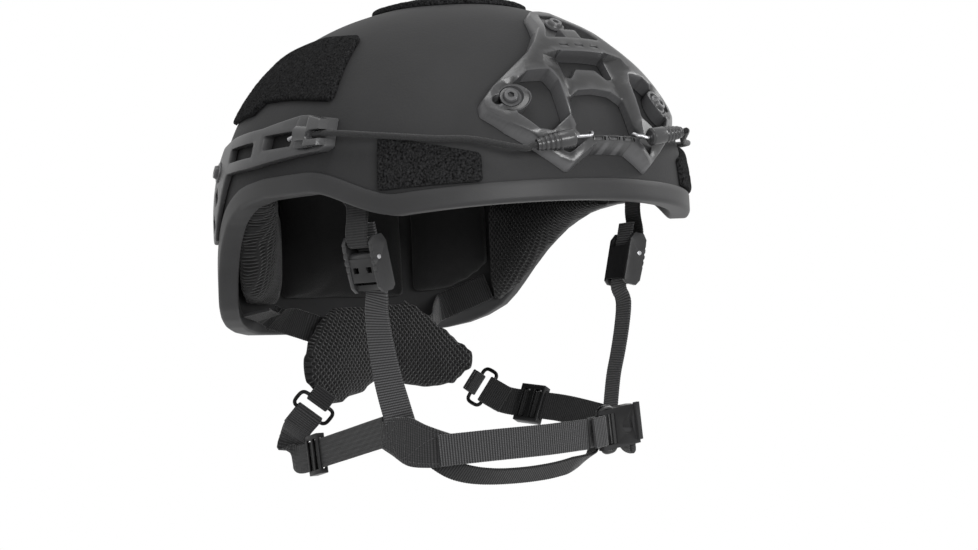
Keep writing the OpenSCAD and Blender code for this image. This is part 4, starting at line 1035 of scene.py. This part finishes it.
CAM_AT = [[-89, -55.5, -26], [-85, -45, -24]]
CAM_TURN, CAM_LEAN = math.radians(99), math.radians(-13)
CAM_ACROSS = np.array([math.cos(CAM_TURN), math.sin(CAM_TURN), 0])
CAM_BAR_Z, CAM_BAR_Y, CAM_BAR_D = 11.0, 3.4, 3.0
CAM_LOOP_R = CAM_BAR_D / 2 + WEB_T / 2 + SEAT
ANCHOR_SCREW = (-67.5, 37.5)
PLATE_GAUGE = 1.5
ANCHOR_D = -WALL - 1.6 - PLATE_GAUGE
SLOT_AT = 11.3


def cam_point(side, p):
    y = p[1] * math.cos(CAM_LEAN) - p[2] * math.sin(CAM_LEAN)
    z = p[1] * math.sin(CAM_LEAN) + p[2] * math.cos(CAM_LEAN)
    return np.array(CAM_AT[side]) + [p[0] * math.cos(CAM_TURN) - y * math.sin(CAM_TURN),
                                     p[0] * math.sin(CAM_TURN) + y * math.cos(CAM_TURN), z]


def anchor_point(p):
    n = normal(*ANCHOR_SCREW)
    flat = unit([-n[1], n[0], 0])
    return skin(*ANCHOR_SCREW, ANCHOR_D) + p[0] * np.cross(flat, n) + p[1] * flat + p[2] * n


STRAP_HANG = [
    [[-84.5, -52.5, -52], [-81.5, -50.8, -68], [-78, -50.2, -84], [-74, -49.5, -97], [-71.5, -49, -104]],
    [[-83, -46.5, -48], [-81, -46.5, -62], [-78, -45.5, -77], [-75, -44.5, -90], [-72, -45, -105.3]]]
STRAP_LOW_ACROSS = [[-0.72, 0.69, 0], [-0.2, 0.98, 0]]


def make_front_straps():
    for side, hand in enumerate(SIDES):
        route = [anchor_point([SLOT_AT, 0, PLATE_GAUGE]), anchor_point([SLOT_AT + 0.4, 0, -0.5]),
                 anchor_point([SLOT_AT + 2.5, 0, -2.6])]
        turn = [[0.5, 34], [1.5, 26], [CAM_BAR_Y + CAM_LOOP_R, CAM_BAR_Z + 5]]
        turn += [[CAM_BAR_Y + y, CAM_BAR_Z - z] for y, z in polar(CAM_LOOP_R, np.radians(range(0, 181, 45)))]
        turn += [[CAM_BAR_Y - CAM_LOOP_R, CAM_BAR_Z + 2]]
        route += [cam_point(side, [0, y, z]) for y, z in turn]
        across = [mix([-0.25, 0.97, 0], CAM_ACROSS, min(k / 4, 1)) for k in range(len(route))]
        band("anchor_strap_" + hand, handed(side, route), handed(side, across), WEB_BLACK, "web_black")
        route = [cam_point(side, [0, y, z]) for y, z in ((-1, 20), (-1, 10), (-0.6, 3), (0, -6), (0, -16))]
        route = handed(side, route + STRAP_HANG[side])
        across = handed(side, turning(CAM_ACROSS, STRAP_LOW_ACROSS[side], 4, 9, 10))
        band("front_strap_" + hand, route, across, WEB_GREY, "web_grey", steps=3, tuck=(0, 6))


JUNCTION_TOP = [[-38, -106.5], [-48, -105.5], [-58, -105.7], [-67, -109.8], [-78, -114.3]]
JUNCTION_LOW = [[-37.6, -121.5], [-46, -125], [-56, -130.2], [-67, -131.4], [-78, -130.8]]
# The piece is flat behind JUNCTION_BEND and curves inwards before it
JUNCTION_X, JUNCTION_BEND, JUNCTION_R = -74, -38, 55
# The weave's size across, and along from one column of points to the next
JUNCTION_WIDE, JUNCTION_STEP = 17, 0.78


def make_junctions():
    top, low = smooth(JUNCTION_TOP, 14), smooth(JUNCTION_LOW, 14)
    rows, n = 22, len(top)

    def at(k, f, d):
        """A point by its column, its share of the height and its distance outwards."""
        y, z = mix(low[k], top[k], f)
        front = max(JUNCTION_BEND - y, 0)
        out = unit([-1.0, -front / JUNCTION_R, 0])
        return np.array([JUNCTION_X + front ** 2 / (2 * JUNCTION_R), y, z]) + out * d

    def swell(i, k):
        rim = min(i, rows - i, k, n - 1 - k) / 2.5
        return 1.1 * WEB_T * min(1, 0.35 + rim) + 0.05 * math.cos(2 * math.pi * k / 3)

    def seams(first, last, ways):
        """Stitch lines round a box of columns, and its diagonals."""
        cols = range(first, last + 1)
        lines = [[(k, f) for k in cols] for f in (0.1, 0.9)]
        lines += [[(k, f) for f in np.linspace(0.1, 0.9, 12)] for k in (first, last)]
        slope = 0.76 / (last - first)
        return lines + [[(k, 0.5 + way * slope * (k - (first + last) / 2)) for k in cols] for way in ways]

    verts = [at(k, i / rows, sign * swell(i, k)) for sign in (1, -1) for i in range(rows + 1) for k in range(n)]
    uv = [[f * JUNCTION_WIDE - JUNCTION_WIDE / 2, k * JUNCTION_STEP] for _ in (0, 1)
          for f in np.linspace(0, 1, rows + 1) for k in range(n)]
    size = (rows + 1) * n
    faces = quads(rows + 1, n)
    faces += [[size + k for k in face[::-1]] for face in faces]
    grid = np.arange(size).reshape(rows + 1, n)
    rim = np.concatenate([grid[0], grid[1:, -1], grid[-1, -2::-1], grid[-2:0:-1, 0]])
    faces += [[b, a, size + a, size + b] for a, b in zip(rim, np.roll(rim, -1))]
    lines = seams(4, 19, (1, -1)) + seams(26, n - 6, (1,))
    outs = [[at(k, f, 1) - at(k, f, 0) for k, f in line] for line in lines]
    lines = [[at(k, f, 1.1 * WEB_T + 0.05) for k, f in line] for line in lines]
    for side, hand in enumerate(SIDES):
        node = "junction_" + hand
        to_object(node, "web", *handed_form(side, verts, faces), WEB_DARK, "web_grey", 60, uv=uv)
        stitches(node, [handed(side, line) for line in lines], [handed(side, out) for out in outs])


# Rear straps, the rings that they turn round and the tabs of the nape pad

RING_D, RING_DEEP = 2.4, 10.0
TURN_R = RING_D / 2 + WEB_T / 2 + SEAT
RING_FROM = np.array([[-65.9, 62.2, -111.6], [55.9, 31.7, -101.2]])
RING_WAY = [unit([4.2, -7.5, 8.5]), unit([-4, 13.5, 7])]
RING_WIDTH = [np.array([-0.75, 0.3, 0.6]), np.array([0.25, 0.25, 0.94])]
RING_REACH = [11, 13]
RING_WIDE = [unit(RING_WIDTH[k] - RING_WAY[k] * (RING_WIDTH[k] @ RING_WAY[k])) for k in (0, 1)]
RING_SIDE = [np.cross(RING_WAY[k], RING_WIDE[k]) for k in (0, 1)]
RING_WIRE = [RING_FROM[k] + RING_WAY[k] * RING_REACH[k] for k in (0, 1)]
TAB_TO = np.array([[-49, 42.5, -88], [42, 46.5, -86]])
TAB_LEN = 7


def ring_turn(k):
    flat = [[-4, 1.6], [-2, TURN_R], *polar(TURN_R, np.radians(range(90, -91, -30))), [-3, -TURN_R], [-8, -1.7],
            [-RING_REACH[k] - 1, -1.3]]
    return [RING_WIRE[k] + RING_WAY[k] * p[0] + RING_SIDE[k] * p[1] for p in flat]


def make_rear_straps():
    meet = RING_FROM[0] + RING_SIDE[0] * 0.9
    route = [[-74.3, -36.2, -113.5], [-72.5, -20, -116], [-70, 2, -119.5], [-68, 22, -122.6],
             [-66.2, 41, -125.8], [-64.4, 60, -129], [-63.7, 70, -128.3], [-63, 74.5, -124],
             [-62.4, 72.5, -117.5], meet, *ring_turn(0)]
    across = turning([0, 0.15, 1], RING_WIDE[0], 5, 9, len(route))
    band("rear_strap_right", route, across, WEB_DARK, "web_grey", tuck=(5, 0))
    meet = RING_FROM[1] + RING_SIDE[1] * 0.9
    start = np.array([70, -4, -106.5])
    route = [[74.2, -36.4, -113], [72, -20, -109.7], start, mix(start, meet, 0.3), mix(start, meet, 0.54), meet,
             *ring_turn(1)]
    across = turning([0, 0.1, 1], RING_WIDE[1], 0, 2, len(route))
    band("rear_strap_left", route, across, WEB_BLACK, "web_black", tuck=(5, 0))
    for k, hand in enumerate(SIDES):
        wire = RING_WIRE[k] + RING_WAY[k] * RING_DEEP
        way = TAB_TO[k] - wire
        out = unit(way - RING_WIDE[k] * (way @ RING_WIDE[k]))
        flat = np.cross(out, RING_WIDE[k])
        turn = [[TAB_LEN, 0.9], *polar(TURN_R, np.radians(range(90, 271, 30))), [TAB_LEN, -0.9]]
        route = [wire + out * p[0] + flat * p[1] for p in turn]
        band("nape_tab_" + hand, route, [RING_WIDE[k]] * len(turn), WEB_BLACK, "web_black", wide=WEB_W - 3)


def make_hangers():
    d = -WALL - TRIM_T - SEAT - WEB_T / 2 - 1.3
    route = [skin(133, -33, d), skin(140, -38.5, d), skin(147.5, -44.5, d), [47, 87, -51], [35, 72, -57.5],
             [26, 71.2, -61]]
    band("nape_hanger_left", route, [[0, 0, 1]] * 6, WEB_BLACK, "web_black", steps=3)
    route = [skin(-137, -46, -17.5), skin(-150, -48.5, -18), [-54, 87, -51], [-49, 74, -55], [-40, 71, -58.5]]
    across = turning([0.7, -0.72, 0.2], [0, 0.1, 1], 1, 3, 5)
    band("nape_hanger_right", route, across, WEB_BLACK, "web_black", steps=3)


# Chin bands and the buckle's loop

BUCKLE_AT = np.array([48.5, -85.2, -115.4])
BUCKLE_TURN, BUCKLE_TILT = math.radians(9), math.radians(-6)
SLIDE_LEN, BAR_OUT = 18, 10
BAR_X = -SLIDE_LEN / 2 - BAR_OUT
ROD_D, ROD_LOOP = 3.2, [9.5, 11.4]
LOW_WEB_W, BEND_FROM = 12, -40
CHIN_LOOP_R = ROD_D / 2 + WEB_T / 2 + SEAT


def buckle_point(p):
    x = p[0] * math.cos(BUCKLE_TILT) + p[2] * math.sin(BUCKLE_TILT)
    z = p[2] * math.cos(BUCKLE_TILT) - p[0] * math.sin(BUCKLE_TILT)
    return BUCKLE_AT + [x * math.cos(BUCKLE_TURN) - p[1] * math.sin(BUCKLE_TURN),
                        x * math.sin(BUCKLE_TURN) + p[1] * math.cos(BUCKLE_TURN), z]


def make_chin_bands():
    route = [[-60, -79.4, -122.3], [-53, -83.5, -121.8], [-40, -88.8, -121], [-25, -92, -120.4],
             [-8, -93.2, -119.8], [8, -92.5, -119], [18, -91, -118.6]]
    upper = band("chin_band_upper", route, [[0, 0, 1]] * 7, WEB_GREY_SHADED, "web_grey", body=None, steps=4,
                 tuck=(6, 0))
    route = [[-61.8, -68, -127], [-56, -71, -131.8], [-46, -73, -135.7], [-32, -75, -137.7], [-14, -76, -138],
             [4, -76.2, -137], [18, -75.6, -135], [28, -74.2, -132.8], [34, -73, -130.4], [36.6, -72.2, -126.8],
             [34, -72, -123]]
    across = turning([0.3, -0.7, 0.6], [0.1, -0.6, 0.8], 2.5, 6.5, 7)
    across += [[-0.1, -0.8, 0.5], [-0.2, -0.95, 0.2], [-0.2, -0.97, 0], [-0.2, -0.97, 0]]
    lower = band("chin_band_lower", route, across, WEB_BLACK, "web_grey", wide=LOW_WEB_W, body=None, steps=4,
                 tuck=(5, 0))
    for ob, end in ((upper, 16), (lower, 30)):
        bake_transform(ob)
    turn = [[BAR_X - 9, -CHIN_LOOP_R - 0.9], [BAR_X - 4, -CHIN_LOOP_R - 0.3],
            *([BAR_X, 0] + polar(CHIN_LOOP_R, np.radians(range(-90, 91, 30)))),
            [BAR_X - 4, CHIN_LOOP_R - 0.2], [BAR_X - 8.5, 1.6]]
    up = buckle_point([0, 0, 1]) - BUCKLE_AT
    route = [buckle_point([x, y, 0]) for x, y in turn]
    band("chin_loop", route, [up] * len(turn), WEB_GREY_SHADED, "web_black", body="buckle_slide")
    ring = rounded(box(BAR_X, BAR_X + ROD_LOOP[0], -ROD_LOOP[1], ROD_LOOP[1]), 3.5)
    route = np.array([buckle_point([x, 0, z]) for x, z in [*ring, ring[0]]])
    tube("buckle_slide", "rod", route, ROD_D, 16, ROD_LOOK, "buckle", body="buckle_slide")


make_front_straps()
make_junctions()
make_rear_straps()
make_hangers()
make_chin_bands()


# Shock cords and their hooks

BARREL_AT = np.array([[-46, -142.1, 25.7], [-40.6, -149, 33.8]])
BARREL_TURN = np.radians([-20, 2.3])
BARREL_TILT = np.radians([10.3, -8.9])
NOSE_LEN, BODY_LEN = 12, 8
CORD_START = [[-65.5, 36.3, 8.6], [-60.4, 36.2, 7.9]]
CORD_END = [[[-52.3, 34.2, 6.9], [-43.6, 31.7, 6.9], [-36.3, 29.7, 7], [-29.3, 28.4, 7.5]],
            [[-52.3, 35, 6.9], [-43.6, 33.8, 6.5], [-36.5, 32.8, 5.0], [-29, 32.6, 6]]]
CORD_TURN = [-8, -4]
CORD_TIP, TIP_D = [[-30.5, 39.8], [-25.5, 38.6]], 2.2
HOOK_BEND = [[[-16.6, -146.9, 30.6], [-14.6, -146, 31.3]], [[-16.8, -146.8, 31.4], [-14.8, -146, 31.6]]]
HOOK_END = [[-13.4, -144.3, 32.5], [-13.2, -141.4, 30.6], [-13.2, -139, 29]]


def barrel_point(side, x):
    t, n = BARREL_TURN[side], BARREL_TILT[side]
    return BARREL_AT[side] + x * np.array([math.cos(n) * math.cos(t), math.cos(n) * math.sin(t), math.sin(n)])


def make_cords():
    for side, hand in enumerate(SIDES):
        route = [skin(*p) for p in CORD_START + CORD_END[side]]
        route += [barrel_point(side, x) for x in (CORD_TURN[side], -2.5, 1, NOSE_LEN - 3)]
        route = handed(side, smooth(route, 10))
        ob, path, length = tube("shock_cord_" + hand, "braid", route, CORD_D, 24, CORD_LOOK, "cord", braid=0.05)
        tip = handed(side, smooth(on_side(np.array(CORD_TIP), np.full(2, 4.5)), 6))
        tube("shock_cord_" + hand, "tip", tip, TIP_D, 12, TIP_LOOK, "cord")
        hook = [barrel_point(side, NOSE_LEN + x) for x in (0, BODY_LEN, BODY_LEN + 1.5)]
        hook = handed(side, smooth(hook + HOOK_BEND[side] + HOOK_END, 8))
        tube("cord_hook_" + hand, "wire", hook, WIRE_D, 16, WIRE_LOOK, "wire")


make_cords()


# Hard parts whose own shape is right

def make_simple_nodes():
    rules = (("frame_screws", SCREW_LOOK, "screw", 0.25), ("rail_screws", SCREW_LOOK, "screw", 0.25),
             ("insert_nuts", STEEL_LOOK, "nut", 0.15), ("strap_anchors", STEEL_LOOK, "nut", 0.2),
             ("cord_barrel_", BARREL_LOOK, "barrel", 0.15), ("cam_frame_", CAM_LOOK, "buckle", 0.4),
             ("cam_pin_", STEEL_LOOK, "nut", 0.1), ("buckle_base", BUCKLE_LOOK, "buckle", 0.5),
             ("base_magnet", BUCKLE_LOOK, "magnet", 0.1), ("nape_ring_", BUCKLE_LOOK, "buckle", 0))
    for name, *rule in rules:
        for node in [name + hand for hand in SIDES] if name.endswith("_") else [name]:
            rounded_node(node, *rule)
    for node in ("cam_lever_right", "cam_lever_left", "buckle_slide", "rear_slider_right", "rear_slider_left"):
        rounded_node(node, CAM_LOOK if "cam" in node else BUCKLE_LOOK, "buckle", 0.4, node)
    rounded_node("slide_magnet", BUCKLE_LOOK, "magnet", 0.1, "buckle_slide")


make_simple_nodes()


# Pads

VOXEL, PRESSURE, FRAMES, CAP = 4.5, 4.0, 20, 3.0


def inflate(ob):
    """Fills a closed cover with pressure, then stops each point within CAP of where it was."""
    remesh = ob.modifiers.new("remesh", "REMESH")
    remesh.mode = "VOXEL"
    remesh.voxel_size = VOXEL * MM
    apply_modifiers(ob)
    before = np.empty(len(ob.data.vertices) * 3)
    ob.data.vertices.foreach_get("co", before)
    cloth_mod = ob.modifiers.new("cloth", "CLOTH")
    cloth_mod.settings.use_pressure = True
    cloth_mod.settings.uniform_pressure_force = PRESSURE
    cloth_mod.settings.effector_weights.gravity = 0
    cloth_mod.settings.quality = 5
    scene = bpy.context.scene
    for f in range(1, FRAMES + 1):
        scene.frame_set(f)
    apply_modifiers(ob)
    scene.frame_set(1)
    after = np.empty(len(before))
    ob.data.vertices.foreach_get("co", after)
    move = (after - before).reshape(-1, 3)
    far = np.linalg.norm(move, axis=1, keepdims=True)
    move *= np.minimum(1, CAP * MM / np.maximum(far, 1e-9))
    ob.data.vertices.foreach_set("co", (before.reshape(-1, 3) + move).ravel())
    sub = ob.modifiers.new("subdivision", "SUBSURF")
    sub.levels = sub.render_levels = 1
    apply_modifiers(ob)


def unroll(ob):
    """Gives a pad a UV in millimetres: along the head's girth and up."""
    co = np.empty(len(ob.data.vertices) * 3)
    ob.data.vertices.foreach_get("co", co)
    co = co.reshape(-1, 3) / MM
    centre = co.mean(0)
    out = unit(centre * [1, 1, 0])
    girth = np.cross([0, 0, 1], out)
    rise = np.cross(out, girth)
    a = np.arctan2(co @ girth, co @ out)
    flat = np.stack([a * np.linalg.norm(centre[:2]), co @ rise], -1)
    loops = np.empty(len(ob.data.loops), int)
    ob.data.loops.foreach_get("vertex_index", loops)
    layer = ob.data.uv_layers.get("UVMap") or ob.data.uv_layers.new(name="UVMap")
    layer.data.foreach_set("uv", flat[loops].ravel())


def make_pads():
    for node in ("pad_front", "pad_rear", "pad_back", "pad_crown", "pad_side_right", "pad_side_left",
                 "pad_mesh_right", "pad_mesh_left", "nape_pad"):
        ob = copy_of(node, node + "_cover")
        inflate(ob)
        shade(ob, 80)
        if "mesh" in node or "nape" in node:
            unroll(ob)
            dress(ob, NET_LOOK, node, "helmet", "mesh")
        else:
            dress(ob, PAD_LOOK, node, "helmet", "pad")


make_pads()
